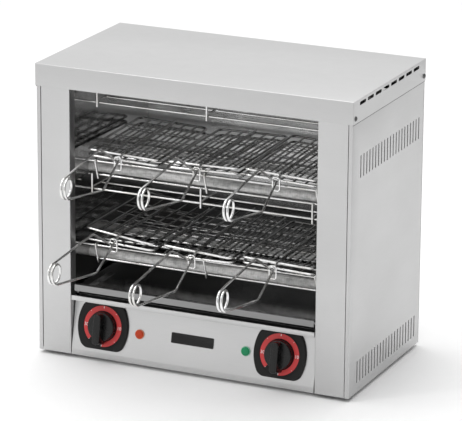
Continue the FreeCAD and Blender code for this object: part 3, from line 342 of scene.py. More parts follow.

# %% [markdown]
# The rear wall throws the heat forward. Its upper part is bright and its lower part is painted dark grey,
# a painted shade. So its colour fades from dark to bright between two heights.

# %% Painted shade on the rear wall
PAINTED_SHADE_BASE = 0.17
PAINTED_SHADE_TOP = 0.20
tree = finishes["reflector_steel"].node_tree
# Painted shade: below these heights the wall turns dark grey.
unshaded = spread(tree, coordinate(tree, "Object", "Z"), 0, 1, PAINTED_SHADE_BASE, PAINTED_SHADE_TOP)
tree.links.new(blended(tree, unshaded, (0.1, 0.1, 0.1), tree.nodes["Group"].outputs["Color"]),
               tree.nodes["Principled BSDF"].inputs["Base Color"])

# %% [markdown]
# A quartz heating tube is milky, not clear: tiny bubbles, drawn out when it was pulled, scatter the
# light. So its colour is streaks along the tube under a glassy coat. The turns of the heating spring
# inside show through as faint bands.

# %% Milky quartz
SPRING_PITCH = 3.4 * MM
quartz = bpy.data.materials.new("milky_quartz")
quartz.use_nodes = True
finishes["milky_quartz"] = quartz
tree = quartz.node_tree
shader = tree.nodes["Principled BSDF"].inputs
streaks = noise(tree, 30, 5, (0.35, 3, 3))
bubbles = noise(tree, 210, 3, (0.6, 1, 1), (4, 4, 4))
wave = arithmetic(tree, "MULTIPLY", coordinate(tree, "Object", "X"), 2 * math.pi / SPRING_PITCH)
bands = arithmetic(tree, "MULTIPLY", arithmetic(tree, "SINE", wave), 0.014)
milk = arithmetic(tree, "ADD", weighed(tree, streaks, bubbles, 0.7), bands)
milky = spread(tree, milk, 0, 1, 0.36, 0.66)
tree.links.new(blended(tree, milky, (0.30, 0.30, 0.295), (0.90, 0.89, 0.88)), shader["Base Color"])
tree.links.new(spread(tree, bubbles, 0.2, 0.42), shader["Roughness"])
tree.links.new(bumped(tree, streaks, 0.1 * MM), shader["Normal"])
shader["Coat Weight"].default_value = 0.5
shader["Coat Roughness"].default_value = 0.12
print("finishes:", sorted(finishes))

# %% [markdown]
# Straight wire is cut to length and bent cold around pins. Here a line of edges is drawn from bend to
# bend and its corners are rounded. A curve then sweeps a round section along it and is made a mesh.

# %% Bending a wire


def extrude(step):
    """Draws the selection out by a step."""
    bpy.ops.mesh.extrude_region_move(TRANSFORM_OT_translate={"value": step})


def thicken(name, thick, fine):
    """Turns the active object, a line of edges, into a round wire."""
    bpy.ops.object.convert(target="CURVE")
    curve = bpy.context.object.data
    curve.bevel_depth = thick / 2
    curve.bevel_resolution = fine
    curve.use_fill_caps = True
    bpy.ops.object.convert(target="MESH")
    bpy.ops.object.transform_apply(location=True, rotation=True, scale=True)
    wire = bpy.context.object
    wire.name = name
    wire.data.shade_smooth()
    return wire


def bent_wire(name, points, thick, bend=0.0, fine=2):
    """An open wire through the points. The bend is the length that each corner takes off its runs."""
    bpy.ops.object.select_all(action="DESELECT")
    bpy.ops.mesh.primitive_plane_add(size=thick, location=points[0])
    bpy.ops.object.mode_set(mode="EDIT")
    bpy.ops.mesh.merge(type="CENTER")
    for here, there in zip(points, points[1:]):
        extrude(there - here)
    if bend:
        bpy.ops.mesh.select_all(action="SELECT")
        bpy.ops.mesh.bevel(affect="VERTICES", offset=bend, segments=4)
    bpy.ops.object.mode_set(mode="OBJECT")
    return thicken(name, thick, fine)


def wire_loop(name, middle, width, length, thick, bend, upright=False, fine=2):
    """A closed wire with four rounded corners, flat or upright."""
    bpy.ops.object.select_all(action="DESELECT")
    tilt = math.pi / 2 if upright else 0
    bpy.ops.mesh.primitive_plane_add(size=1, location=middle, rotation=(tilt, 0, 0))
    bpy.context.object.scale = (width, length, 1)
    bpy.ops.object.transform_apply(location=True, rotation=True, scale=True)
    bpy.ops.object.mode_set(mode="EDIT")
    bpy.ops.mesh.select_all(action="SELECT")
    bpy.ops.mesh.delete(type="ONLY_FACE")
    bpy.ops.mesh.select_all(action="SELECT")
    bpy.ops.mesh.bevel(affect="VERTICES", offset=bend, segments=5)
    bpy.ops.object.mode_set(mode="OBJECT")
    return thicken(name, thick, fine)


def joined(pieces, name):
    """Several objects made one."""
    bpy.ops.object.select_all(action="DESELECT")
    for piece in pieces:
        piece.select_set(True)
    bpy.context.view_layer.objects.active = pieces[0]
    bpy.ops.object.join()
    bpy.context.object.name = name
    return bpy.context.object


def placed(pattern, matrix, name="copy"):
    """A copy with its own mesh, moved by a matrix that goes into the mesh."""
    twin = pattern.copy()
    twin.data = pattern.data.copy()
    twin.data.transform(matrix)
    twin.name = name
    bpy.context.scene.collection.objects.link(twin)
    return twin


def discard(*patterns):
    """Deletes patterns that have been copied, and tools that have cut."""
    for pattern in patterns:
        bpy.data.objects.remove(pattern)


def added(piece, body, slot, finish=None):
    """Gives a piece its body and its finish, which is the finish given or else the one named like the slot."""
    piece.data.materials.clear()
    piece.data.materials.append(finishes[finish or slot])
    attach(piece, body)
    return piece


def dress(piece, body, slot, *replaced, finish=None):
    """The same, and hides the nodes that the piece stands for."""
    added(piece, body, slot, finish)
    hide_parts(*replaced)
    return piece


# %% [markdown]
# A clamp is two flat jaws of wire. One wire makes the lower jaw's arm, the coil and the upper jaw's arm,
# so the arms cross like scissors and the coil presses the jaws together. All six are alike, so one is
# modelled and copied. Its sizes are in millimetres from the middle of the lower jaw's front wire.

# %% The coil and the two arms
JAW_WIRE = 3.2
JAW_LENGTH = 170
COIL_RADIUS = 13.0
COIL_PITCH = 5.0
COIL_MIDDLE = Vector((0, -171.5, 8.4))
COIL_STEPS = 44
WHOLE_TURNS = 2
ARM_SIDE = 1.9
ARM_END = 1.9
ARM_BEND = 4.0
CROSSING = (-17.5, 3.7)
SPINE_HEIGHT = 10.6
PEAK = Vector((0, -67, 32.2))
BEND = Vector((0, -68, -22.4))


def touch_angle(point, side):
    """Where a straight wire from the point touches the coil."""
    ray = point - COIL_MIDDLE
    return math.atan2(ray.z, ray.y) + side * math.acos(COIL_RADIUS / ray.length)


def clamp_wire(name, points, thick=JAW_WIRE, bend=0.0, fine=3):
    """A wire of the clamp, from millimetres."""
    return bent_wire(name, [Vector(point) * MM for point in points], thick * MM, bend * MM, fine)


foot_angle = touch_angle(BEND, -1)
head_angle = touch_angle(PEAK, 1) - 2 * math.pi * WHOLE_TURNS
coil_turn = foot_angle - head_angle
coil_width = COIL_PITCH * coil_turn / (2 * math.pi)


def on_coil(share):
    """A point of the coil: 0 at the foot, 1 where the arm of the lower jaw leaves it."""
    angle = foot_angle - share * coil_turn
    return COIL_MIDDLE + Vector((coil_width * (0.5 - share), COIL_RADIUS * math.cos(angle),
                                 COIL_RADIUS * math.sin(angle)))


def arm_start(end, elbow, side):
    """An arm's first points: the coil's end, the elbow on the straight way and the crossing."""
    share = (elbow.y - end.y) / (CROSSING[0] - end.y)
    return [end, (end.x + (side - end.x) * share, elbow.y, elbow.z), (side, *CROSSING)]


coil = clamp_wire("coil", [on_coil(i / COIL_STEPS) for i in range(COIL_STEPS + 1)])
lower_arm = clamp_wire("lower_arm", arm_start(on_coil(1), PEAK, -ARM_SIDE) + [(-ARM_SIDE, -ARM_END, 0)],
                       bend=ARM_BEND)
upper_arm = clamp_wire("upper_arm", arm_start(on_coil(0), BEND, ARM_SIDE) + [
    (ARM_SIDE, -JAW_WIRE, SPINE_HEIGHT), (ARM_SIDE, JAW_LENGTH + JAW_WIRE / 2, SPINE_HEIGHT)], bend=ARM_BEND)
print("coil of", round(coil_turn / (2 * math.pi), 2), "turns,", round(coil.dimensions.z / MM, 1), "mm high")

# %% [markdown]
# Each jaw is a ring of the thick wire with five long wires and three thin cross wires. A spot weld sinks
# one wire a little into the other. A narrow loop round both arms keeps a clamp from opening too far.

# %% The jaws
JAW_WIDTH = 100
JAW_GAP = 7.4
LONG_WIRE = 2.6
LONG_COUNT = 5
LONG_END = 0.6
CROSS_WIRE = 1.3
CROSS_COUNT = 3
WELD = 0.8


def jaw_grid(name, height, outward):
    """Five long wires sunk into the ring and three cross wires welded to their inner side."""
    sunk = height - WELD * outward
    inner = sunk - (0.45 * LONG_WIRE + 0.4 * CROSS_WIRE) * outward
    side = JAW_WIDTH / 2
    wires = []
    for i in range(1, LONG_COUNT + 1):
        across = i * JAW_WIDTH / (LONG_COUNT + 1) - side
        ends = [(across, -LONG_END, sunk), (across, JAW_LENGTH + LONG_END, sunk)]
        wires.append(clamp_wire("long", ends, LONG_WIRE, fine=2))
    for i in range(1, CROSS_COUNT + 1):
        back = i * JAW_LENGTH / (CROSS_COUNT + 1)
        ends = [(WELD - side, back, inner), (side - WELD, back, inner)]
        wires.append(clamp_wire("cross", ends, CROSS_WIRE, fine=2))
    return joined(wires, name)


ring = wire_loop("ring", (0, JAW_LENGTH / 2 * MM, 0), JAW_WIDTH * MM, JAW_LENGTH * MM, JAW_WIRE * MM,
                 7 * MM, fine=3)
lower_grid = jaw_grid("lower_grid", 0, -1)
upper_grid = jaw_grid("upper_grid", JAW_GAP, 1)
keeper = wire_loop("keeper", (0, -15.5 * MM, -1 * MM), 9.6 * MM, 17.5 * MM, 2 * MM, 2.8 * MM, upright=True)

# %% [markdown]
# The clamps were pushed in by hand, so no two lie alike. Each one's place and turn come from its hinge in
# the frame, and the jaws roll a little about the wire that carries them. Their wire is painted darker
# from just behind the front: painted shade for the dark chamber that the wire reflects.

# %% Six clamps
# Clamp: tip, jaws parted, roll of the lower jaw, roll of the upper jaw, in degrees
CLAMPS = {
    "clamp_top_left": (0.0, 0.0, 2.4, 2.7), "clamp_top_middle": (0.0, 0.0, -1.3, -1.0),
    "clamp_top_right": (0.0, 0.0, 3.0, 3.2), "clamp_low_left": (0.0, 1.370, 1.8, 5.9),
    "clamp_low_middle": (2.4, 0.702, -1.5, 2.7), "clamp_low_right": (0.0, 0.0, 2.2, 2.0)}
# Painted shade: wire behind this depth takes the darker finish.
PAINTED_SHADE_START = Vector((0, 4, 0)) * MM


def turned(degrees, axis, about=(0, 0, 0)):
    """A turn about a point given in the clamp's millimetres."""
    to = Matrix.Translation(Vector(about) * MM)
    return to @ Matrix.Rotation(math.radians(degrees), 4, axis) @ to.inverted()


def painted_shade_behind(wire, front):
    """Gives the part of a wire behind a depth the darker finish of the grids, as painted shade."""
    wire.data.materials.append(finishes["grid_wire"])
    for face in wire.data.polygons:
        if face.center.y > front:
            face.material_index = 1


for clamp, (tip, parted, lower_roll, upper_roll) in CLAMPS.items():
    base = clamp + "_base"
    jaw = clamp + "_jaw"
    hinge = joints[clamp + "_spring_hinge"]
    hinge_axis = Vector(hinge["axis"])
    turn = math.degrees(math.atan2(hinge_axis.y, hinge_axis.x))
    rest = (Matrix.Translation(Vector(hinge["pos_m"])) @ turned(turn, "Z") @ turned(tip, "X")
            @ Matrix.Translation(-COIL_MIDDLE * MM))
    swung = rest @ turned(parted, "X", COIL_MIDDLE)
    lower = rest @ turned(lower_roll, "Y", (-ARM_SIDE, 0, 0))
    upper = swung @ turned(upper_roll, "Y", (ARM_SIDE, 0, SPINE_HEIGHT))
    upper_ring = upper @ Matrix.Translation((0, 0, JAW_GAP * MM))
    for part, body, pieces, grid, place in (
            ("_lower", base, [(ring, lower), (lower_arm, rest)], lower_grid, lower),
            ("_upper", jaw, [(ring, upper_ring), (upper_arm, swung), (keeper, swung)], upper_grid, upper)):
        thick_wire = joined([placed(*piece) for piece in pieces], clamp + part + "_wire")
        painted_shade_behind(dress(thick_wire, body, "clamp_wire", clamp + part + "_frame"), (rest @ PAINTED_SHADE_START).y)
        mesh = placed(grid, place, clamp + part + "_mesh")
        dress(mesh, body, "clamp_wire", clamp + part + "_grid", finish="grid_wire")
    spring = placed(coil, rest, clamp + "_spring")
    spring.data.materials.append(finishes["clamp_wire"])
    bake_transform(spring)
    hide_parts(clamp + "_lower_frame")


discard(ring, lower_arm, upper_arm, coil, keeper, lower_grid, upper_grid)
print("six clamps of", len(CLAMPS) * 5, "pieces")

# %% [markdown]
# The guards keep bread off the glowing tubes. Their long wires run from wall to wall or from the first
# cross wire to the last. A resting guard's cross wires are bent down in front, like a row of hooks that
# carry one more wire.

# %% Resting guards
GUARD_WIRE = 3.0
GUARD_PITCH = 30.0
GUARD_COUNT = 7
GUARD_DEPTH = GUARD_PITCH * (GUARD_COUNT - 1)
CROSS_RISE = 0.94 * GUARD_WIRE
CROSS_PITCH = 158.0
WALL_REACH = 179.0


def guard_wire(name, *points, bend=0.0):
    """A wire through points of the cabinet, each across, back and up in millimetres."""
    return bent_wire(name, [at(*point) for point in points], GUARD_WIRE * MM, bend * MM)


def level_wire(name, middle, reach, depth, height):
    """A level wire from side to side."""
    return guard_wire(name, (middle - reach, depth, height), (middle + reach, depth, height))


def long_lines(front, height, shift):
    """The seven long wires: the first and the last reach into the walls."""
    lines = []
    for i in range(GUARD_COUNT):
        middle, reach = (0, WALL_REACH) if i in (0, GUARD_COUNT - 1) else (shift, CROSS_PITCH + GUARD_WIRE)
        lines.append(level_wire("long", middle, reach, front + i * GUARD_PITCH, height))
    return lines


REST_SHIFT = 7.0
REST_FRONT = 27.0
REST_DROP = 20.0
REST_LEAN = 7.0
HOOK_FRONT = 4.2
HOOK_BEND = 4.2
HOOK_BACK = 5.6
HOOK_TAIL = 5.0
for name, height in (("rest_guard_middle", 264.0), ("rest_guard_low", 148.0)):
    wires = long_lines(REST_FRONT, height, REST_SHIFT)
    wires.append(level_wire("hung", REST_SHIFT, CROSS_PITCH + GUARD_WIRE, REST_FRONT + REST_LEAN,
                            height - REST_DROP))
    for i in (-1, 0, 1):
        across = REST_SHIFT + i * CROSS_PITCH
        upper = height + CROSS_RISE
        tail = height - REST_DROP - HOOK_TAIL
        wires.append(guard_wire("hook", (across, REST_FRONT + GUARD_DEPTH + GUARD_WIRE, upper),
                                (across, REST_FRONT - HOOK_FRONT, upper),
                                (across, REST_FRONT + HOOK_BACK, tail), bend=HOOK_BEND))
    dress(joined(wires, name + "_wires"), "cabinet", "guard_wire", name)
print("resting guards of", len(wires), "wires each")

# %% [markdown]
# The guards under the tubes hang on upright wires from the chamber's ceiling or the guard above. The
# same function draws their long wires.

# %% Guards under the tubes
UNDER_FRONT = 34.0
HANG_FRONT = UNDER_FRONT - 3.2
HANG_TAIL = 5.5
for name, height, shift, rise in (("under_guard_top", 342.0, REST_SHIFT, 38.0),
                                  ("under_guard_middle", 223.5, -1.0, 21.5)):
    wires = long_lines(UNDER_FRONT, height, shift)
    for i in (-1, 0, 1):
        across = shift + i * CROSS_PITCH
        upper = height + CROSS_RISE
        wires.append(guard_wire("cross", (across, UNDER_FRONT - GUARD_WIRE / 2, upper),
                                (across, UNDER_FRONT + GUARD_DEPTH + GUARD_WIRE / 2, upper)))
        wires.append(guard_wire("upright", (across, HANG_FRONT, height - HANG_TAIL),
                                (across, HANG_FRONT, height + rise)))
    dress(joined(wires, name + "_wires"), "cabinet", "guard_wire", name)
print("hung guards of", len(wires), "wires each")

# %% [markdown]
# From here on most pieces start as a primitive, so short helpers do what the hand does: add it alone,
# open it with some faces or edges selected, and apply modifiers.

# %% Working on one piece


def alone(piece):
    """Selects one piece and nothing else."""
    bpy.ops.object.select_all(action="DESELECT")
    piece.select_set(True)
    bpy.context.view_layer.objects.active = piece


def started(add, name, **settings):
    """A primitive added alone at its size and place, with that place in its mesh."""
    bpy.ops.object.select_all(action="DESELECT")
    add(**settings)
    bpy.ops.object.transform_apply(location=True, rotation=True, scale=True)
    bpy.context.object.name = name
    return bpy.context.object


def cylinder(name, sides, radius, height, middle, **settings):
    """A cylinder with flat ends."""
    return started(bpy.ops.mesh.primitive_cylinder_add, name, vertices=sides, radius=radius, depth=height,
                   location=middle, **settings)


def block(name, low, high):
    """A box between two corners."""
    low = Vector(low)
    high = Vector(high)
    piece = started(bpy.ops.mesh.primitive_cube_add, name, size=1)
    piece.data.transform(Matrix.Translation((low + high) / 2) @ Matrix.Diagonal((*(high - low), 1)))
    return piece


def choose(piece, kind, test=None):
    """Opens a piece for editing with the faces or edges selected that pass the test, or with all of it."""
    alone(piece)
    bpy.ops.object.mode_set(mode="EDIT")
    bpy.context.tool_settings.mesh_select_mode = (kind == "points", kind == "edges", kind == "faces")
    bpy.ops.mesh.select_all(action="DESELECT" if test else "SELECT")
    if not test:
        return
    bpy.ops.object.mode_set(mode="OBJECT")
    mesh = piece.data
    if kind == "faces":
        for face in mesh.polygons:
            face.select = test(face)
    else:
        for edge in mesh.edges:
            edge.select = test(*(mesh.vertices[i].co for i in edge.vertices))
    bpy.ops.object.mode_set(mode="EDIT")


def faces_up(face):
    """Tells the top faces."""
    return face.normal.z > 0.9


def shrink(across, deep=None, about=(0, 0, 0)):
    """Scales the selection level, about an upright axis through a point."""
    bpy.ops.transform.resize(value=(across, deep or across, 1), center_override=about)


def close():
    """Back from editing, with point selection as at first."""
    bpy.context.tool_settings.mesh_select_mode = (True, False, False)
    bpy.ops.object.mode_set(mode="OBJECT")


def close_outwards():
    """Back from editing, with every face turned outwards."""
    bpy.ops.mesh.select_all(action="SELECT")
    bpy.ops.mesh.normals_make_consistent(inside=False)
    close()


def finished(piece, *modifiers):
    """Adds modifiers with their settings and applies them."""
    alone(piece)
    for kind, settings in modifiers:
        modifier = piece.modifiers.new(kind.lower(), kind)
        for setting, value in settings.items():
            setattr(modifier, setting, value)
        bpy.ops.object.modifier_apply(modifier=modifier.name)
    return piece


def combined(piece, tool, operation="DIFFERENCE"):
    """Cuts a tool's form out of a piece, or adds it, and deletes the tool."""
    finished(piece, ("BOOLEAN", {"operation": operation, "object": tool, "solver": "EXACT"}))
    discard(tool)
    return piece


def smoothed(piece, degrees=35):
    """Smooth shading that keeps the sharp edges."""
    alone(piece)
    bpy.ops.object.shade_smooth_by_angle(angle=math.radians(degrees))
    return piece


def softening(width, segments=2):
    """The settings of a bevel over all sharp edges, its width in millimetres."""
    return ("BEVEL", {"width": width * MM, "segments": segments, "limit_method": "ANGLE",
                      "angle_limit": math.radians(30)})


# %% [markdown]
# A quartz tube is a length of thick glass pipe with fire-polished ends: an open cylinder, with its wall
# from Solidify and its ends rounded by a bevel.

# %% Quartz tubes
TUBE_RADIUS = 6.5 * MM
TUBE_WALL = 1.5 * MM
SIDEWAYS = (0, math.pi / 2, 0)
ROWS = ("top", "middle", "low")


def tube_axes(row):
    """The middle points of a row's front and rear tube."""
    low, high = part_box("quartz_tubes_" + row)
    middle = (low + high) / 2
    return [Vector((middle.x, depth, middle.z)) for depth in (low.y + TUBE_RADIUS, high.y - TUBE_RADIUS)]


tube_low, tube_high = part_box("quartz_tubes_low")
tube_length = tube_high.x - tube_low.x
for row in ROWS:
    tubes = []
    for middle in tube_axes(row):
        tube = cylinder("tube", 40, TUBE_RADIUS, tube_length, middle, rotation=SIDEWAYS,
                        end_fill_type="NOTHING")
        tubes.append(finished(tube, ("SOLIDIFY", {"thickness": TUBE_WALL, "offset": -1}), softening(0.5, 3)))
    pair = smoothed(joined(tubes, "quartz_pair_" + row), 60)
    dress(pair, "cabinet", "milky_quartz", "quartz_tubes_" + row)
print("tubes", round(tube_length / MM), "mm long")

# %% [markdown]
# The heating element is a fine spring of resistance wire in the tube. A Screw modifier winds it from one
# small circle.

# %% Heating elements
SPRING_RADIUS = 2.8 * MM
SPRING_WIRE = 0.8 * MM
spring_turns = int(tube_length / SPRING_PITCH)
springs = []
for row in ROWS:
    for middle in tube_axes(row):
        spring = started(bpy.ops.mesh.primitive_circle_add, "spring", vertices=5, radius=SPRING_WIRE / 2,
                         location=(0, 0, SPRING_RADIUS))
        finished(spring, ("SCREW", {"axis": "X", "angle": 2 * math.pi, "screw_offset": SPRING_PITCH,
                                    "iterations": spring_turns, "steps": 9, "render_steps": 9}))
        spring.data.transform(Matrix.Translation((tube_low.x, middle.y, middle.z)))
        springs.append(spring)
dress(smoothed(joined(springs, "element_springs"), 80), "cabinet", "element_wire", "heating_elements")
print("six elements of", spring_turns, "turns")

# %% [markdown]
# Each tube ends in a ceramic cap outside the chamber's wall. It is a short cylinder whose outer face is
# inset and pushed in, as a moulded cap has a hollow for the connection.

# %% End caps
CAP_RADIUS = 8.5 * MM
CAP_LENGTH = 14 * MM
CAP_RIM = 3 * MM
CAP_HOLLOW = 2 * MM
cap_low, cap_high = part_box("tube_end_caps")
caps = []
for row in ROWS:
    for middle in tube_axes(row):
        for side, end in ((-1, cap_low.x), (1, cap_high.x)):
            place = (end - side * CAP_LENGTH / 2, middle.y, middle.z)
            cap = cylinder("cap", 28, CAP_RADIUS, CAP_LENGTH, place, rotation=SIDEWAYS)
            choose(cap, "faces", lambda face: face.normal.x * side > 0.9)
            bpy.ops.mesh.inset(thickness=CAP_RIM)
            extrude((-side * CAP_HOLLOW, 0, 0))
            close()
            caps.append(finished(cap, softening(0.6)))
dress(smoothed(joined(caps, "ceramic_caps")), "cabinet", "ceramic", "tube_end_caps")
print(len(caps), "end caps")

# %% [markdown]
# The cabinet is folded from thin sheet. A press brake leaves a small radius at each fold, and a punch
# leaves round ends in the slots. So each sheet is a merged copy of its solid, with the folds bevelled
# wide, the slots' corners bevelled round and the rest just softened.

# %% Folded sheets
CLOSE = 0.02 * MM


def sheet_copy(node, name):
    """The node's mesh in a new object, merged, with its flat faces made whole."""
    piece = bpy.data.objects.new(name, nodes[node].data.copy())
    bpy.context.scene.collection.objects.link(piece)
    alone(piece)
    bpy.ops.object.mode_set(mode="EDIT")
    bpy.ops.mesh.select_all(action="SELECT")
    bpy.ops.mesh.remove_doubles(threshold=CLOSE / 2)
    bpy.ops.mesh.dissolve_limited(angle_limit=math.radians(1))
    bpy.ops.object.mode_set(mode="OBJECT")
    return piece


def rounded_edges(piece, test, width, segments):
    """Bevels the edges that pass the test, by a width in millimetres."""
    choose(piece, "edges", test)
    bpy.ops.mesh.bevel(affect="EDGES", offset=width * MM, segments=segments)
    close()


def along(axis, least, most):
    """Tells edges that run along an axis and whose length in millimetres lies between two values."""
    others = [i for i in range(3) if i != axis]

    def test(a, b):
        run = abs(a[axis] - b[axis]) / MM
        return least < run < most and all(abs(a[i] - b[i]) < CLOSE for i in others)

    return test


def outer_fold(node):
    """Tells edges that lie where two outer faces of a node's box meet; the bottom rim is left out."""
    low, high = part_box(node)
    sides = [(0, low.x), (0, high.x), (1, low.y), (1, high.y), (2, high.z)]

    def test(a, b):
        met = [i for i, bound in sides if abs(a[i] - bound) < CLOSE and abs(b[i] - bound) < CLOSE]
        return len(met) >= 2

    return test


def slot_corner(node, axis, margin):
    """Tells the short edges through the sheet at the corners of slots, away from the sheet's own rim."""
    low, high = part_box(node)
    short = along(axis, 0.5, 1.2)
    others = [i for i in range(3) if i != axis]
    margin = margin * MM

    def test(a, b):
        return short(a, b) and all(low[i] + margin < a[i] < high[i] - margin for i in others)

    return test


def fold_done(sheet, node, width, segments=1, body="cabinet", slot="cabinet_steel", finish=None):
    """Softens what is still sharp on a sheet and lets it stand for its node."""
    finished(sheet, softening(width, segments))
    dress(smoothed(sheet, 25), body, slot, node, finish=finish)
    print(sheet.name, len(sheet.data.polygons), "faces")


# %% [markdown]
# Under the cover's skirt a thin dark line, a painted shadow, runs where it meets the side panels. It is a
# straight wire in the corner, in the dark finish of the screws.

# %% Cover
SHADOW_LINE_WIRE = 1.8 * MM
SHADOW_LINE_DROP = 0.6 * MM
SHADOW_LINE_INSET = 2 * MM
cover = sheet_copy("top_cover", "cover_sheet")
rounded_edges(cover, slot_corner("top_cover", 0, 3), 1.8, 4)
rounded_edges(cover, outer_fold("top_cover"), 1.0, 3)
fold_done(cover, "top_cover", 0.15)
# Painted shadow: a dark wire along the joint under the skirt.
shadow_lines = []
low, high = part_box("top_cover")
panel_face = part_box("side_panel_right")[1].x
for side in (-1, 1):
    ends = [Vector((side * panel_face, depth, low.z - SHADOW_LINE_DROP))
            for depth in (low.y + SHADOW_LINE_INSET, high.y - SHADOW_LINE_INSET)]
    shadow_lines.append(bent_wire("seam", ends, SHADOW_LINE_WIRE))
dress(joined(shadow_lines, "cover_shadow_line"), "cabinet", "screw_steel")

# %% Side panels
for side in ("left", "right"):
    node = "side_panel_" + side
    panel = sheet_copy(node, "side_sheet_" + side)
    rounded_edges(panel, slot_corner(node, 0, 10), 1.15, 4)
    rounded_edges(panel, outer_fold(node), 1.0, 3)
    fold_done(panel, node, 0.2)

# %% Rear panel and base plate
rear = sheet_copy("rear_panel", "rear_sheet")
rounded_edges(rear, slot_corner("rear_panel", 1, 3), 1.4, 4)
fold_done(rear, "rear_panel", 0.2)
fold_done(sheet_copy("base_plate", "base_sheet"), "base_plate", 0.25, 2)

# %% [markdown]
# The front frame is one sheet: two posts and a bar, folded back round the opening. The folds there have
# a radius of about a sheet's thickness. A narrow gap to the side panels' flanges shows as a dark seam.

# %% Front frame
OPENING_HALF = 176 * MM
SEAM = 0.6 * MM
NEAR = 5 * CLOSE
low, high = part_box("front_frame")
frame_sheet = sheet_copy("front_frame", "frame_sheet")


def opening_edge(a, b):
    """The front edges of the two posts at the opening."""
    return all(abs(point.y - low.y) < CLOSE and abs(abs(point.x) - OPENING_HALF) < NEAR for point in (a, b))


rounded_edges(frame_sheet, opening_edge, 1.0, 3)
for corner in frame_sheet.data.vertices:
    if abs(corner.co.x) > high.x - NEAR:
        corner.co.x -= math.copysign(SEAM, corner.co.x)
fold_done(frame_sheet, "front_frame", 0.2)

# %% [markdown]
# The control panel's long folds are sharper. The crumb tray is polished, and its lip, which faces the
# clamps' coils, is painted darker than the rest of the same steel, a painted shade.

# %% Control panel and tray
panel_sheet = sheet_copy("control_panel", "panel_sheet")
rounded_edges(panel_sheet, along(0, 300, 400), 0.35, 2)
fold_done(panel_sheet, "control_panel", 0.15)
tray = sheet_copy("crumb_tray", "tray_sheet")
fold_done(tray, "crumb_tray", 0.25, 2, "crumb_tray", "chamber_steel", "tray_steel")
# Painted shade: the lip's faces take the darker copy of the steel.
tray.data.materials.append(finishes["shaded_lip_steel"])
for face in tray.data.polygons:
    if face.normal.y < -0.3:
        face.material_index = 1

# %% [markdown]
# Below the tray's lip a shelf in the dark finish of the screws is painted shade: a dark sheet that makes
# the gap there a dark line. It is a strip of sheet with one edge folded up, drawn as a box whose rear face
# is extruded upwards.

# %% Dark shelf under the tray, painted shade
SHELF_FRONT = at(-174.6, 14.2, 73)
SHELF_REAR = at(174.6, 20.5, 73.8)
SHELF_SHEET = 0.8 * MM
SHELF_FOLD = 7.5 * MM
shelf = block("shelf", SHELF_FRONT, SHELF_REAR)
choose(shelf, "faces", lambda face: face.normal.y > 0.9)
extrude((0, SHELF_SHEET, 0))
close()
choose(shelf, "faces", lambda face: faces_up(face) and face.center.y > SHELF_REAR.y)
extrude((0, 0, SHELF_FOLD))
close()
finished(shelf, softening(0.2, 1))
shelf.name = "shade_shelf_under_tray"
# Painted shade: the shelf takes the dark finish of the screws.
added(shelf, "cabinet", "cabinet_steel", "screw_steel")

# %% [markdown]
# The controls sit on the leaning panel. Each is modelled lying flat on the origin and set in place by one
# matrix: across, up the slope, and out from it. The timers' axes in the frame give the slope.

# %% The panel's own frame
timers = {"left": joints["left_timer_turn"], "right": joints["right_timer_turn"]}
outward = -Vector(timers["left"]["axis"]).normalized()
up_slope = Vector((0, outward.z, -outward.y))


def on_panel(across, height):
    """The place on the panel at an across place and a height, both in metres of the frame."""
    base = Vector(timers["left"]["pos_m"])
    climb = (height - base.z) / up_slope.z
    spot = Vector((across, base.y + up_slope.y * climb, height))
    matrix = Matrix((Vector((1, 0, 0)), up_slope, outward)).transposed().to_4x4()
    return Matrix.Translation(spot) @ matrix


knob_places = {side: on_panel(timer["pos_m"][0], timer["pos_m"][2]) for side, timer in timers.items()}
print("panel leans", round(math.degrees(math.atan2(outward.z, -outward.y)), 2), "degrees")

# %% [markdown]
# A dial plate is a black moulding with bulging sides, a raised rim and a round well for the knob. A
# plane's corners are rounded, its sides are subdivided and pushed out along an arc, and the face is
# extruded, inset and sunk. A Boolean cuts the well.

# %% Dial plates
PLATE_REACH = 37.4 * MM
PLATE_BULGE = 57 * MM
PLATE_HALF = 32 * MM
PLATE_CORNER = 6.6 * MM
PLATE_BODY = 2.6 * MM
PLATE_EDGE = 0.9 * MM
PLATE_RIM = 1.2 * MM
RIM_RISE = 0.4 * MM
WELL_RADIUS = 28.5 * MM
WELL_FLOOR = 2.5 * MM
CUT_HEIGHT = 4 * MM


def bulge(up):
    """How far a plate's side stands out at a height over its middle."""
    return PLATE_REACH - PLATE_BULGE + math.sqrt(PLATE_BULGE ** 2 - up ** 2)


def dial_plate(name):
    """One plate, lying flat round the origin."""
    plate = started(bpy.ops.mesh.primitive_plane_add, name, size=2)
    plate.data.transform(Matrix.Diagonal((bulge(PLATE_HALF), PLATE_HALF, 1, 1)))
    choose(plate, "points")
    bpy.ops.mesh.bevel(affect="VERTICES", offset=PLATE_CORNER, segments=6)
    close()
    choose(plate, "edges", lambda a, b: abs(a.y - b.y) > PLATE_HALF)
    bpy.ops.mesh.subdivide(number_cuts=13)
    close()
    for point in plate.data.vertices:
        point.co.x *= bulge(point.co.y) / bulge(PLATE_HALF)
    choose(plate, "faces")
    bpy.ops.mesh.dissolve_limited(angle_limit=0.001)
    bpy.ops.mesh.select_all(action="SELECT")
    extrude((0, 0, PLATE_BODY))
    shrink(0.985)
    extrude((0, 0, PLATE_EDGE))
    shrink(0.965)
    bpy.ops.mesh.inset(thickness=PLATE_RIM)
    bpy.ops.transform.translate(value=(0, 0, -RIM_RISE))
    close_outwards()
    combined(plate, cylinder("well", 72, WELL_RADIUS, CUT_HEIGHT, (0, 0, WELL_FLOOR + CUT_HEIGHT / 2)))
    return smoothed(finished(plate, softening(0.25)), 30)


plate = dial_plate("plate")
plates = joined([placed(plate, place) for place in knob_places.values()], "dial_pair")
discard(plate)
dress(plates, "cabinet", "dial_plastic", "dial_plates")
print("dial plates", [round(size / MM, 1) for size in plates.dimensions])

# %% [markdown]
# The scale is printed on the well's floor in red, with white figures and marks. The ring is a flat
# rectangle spun about the knob's axis. Figures are text made mesh; ticks are thin bars.

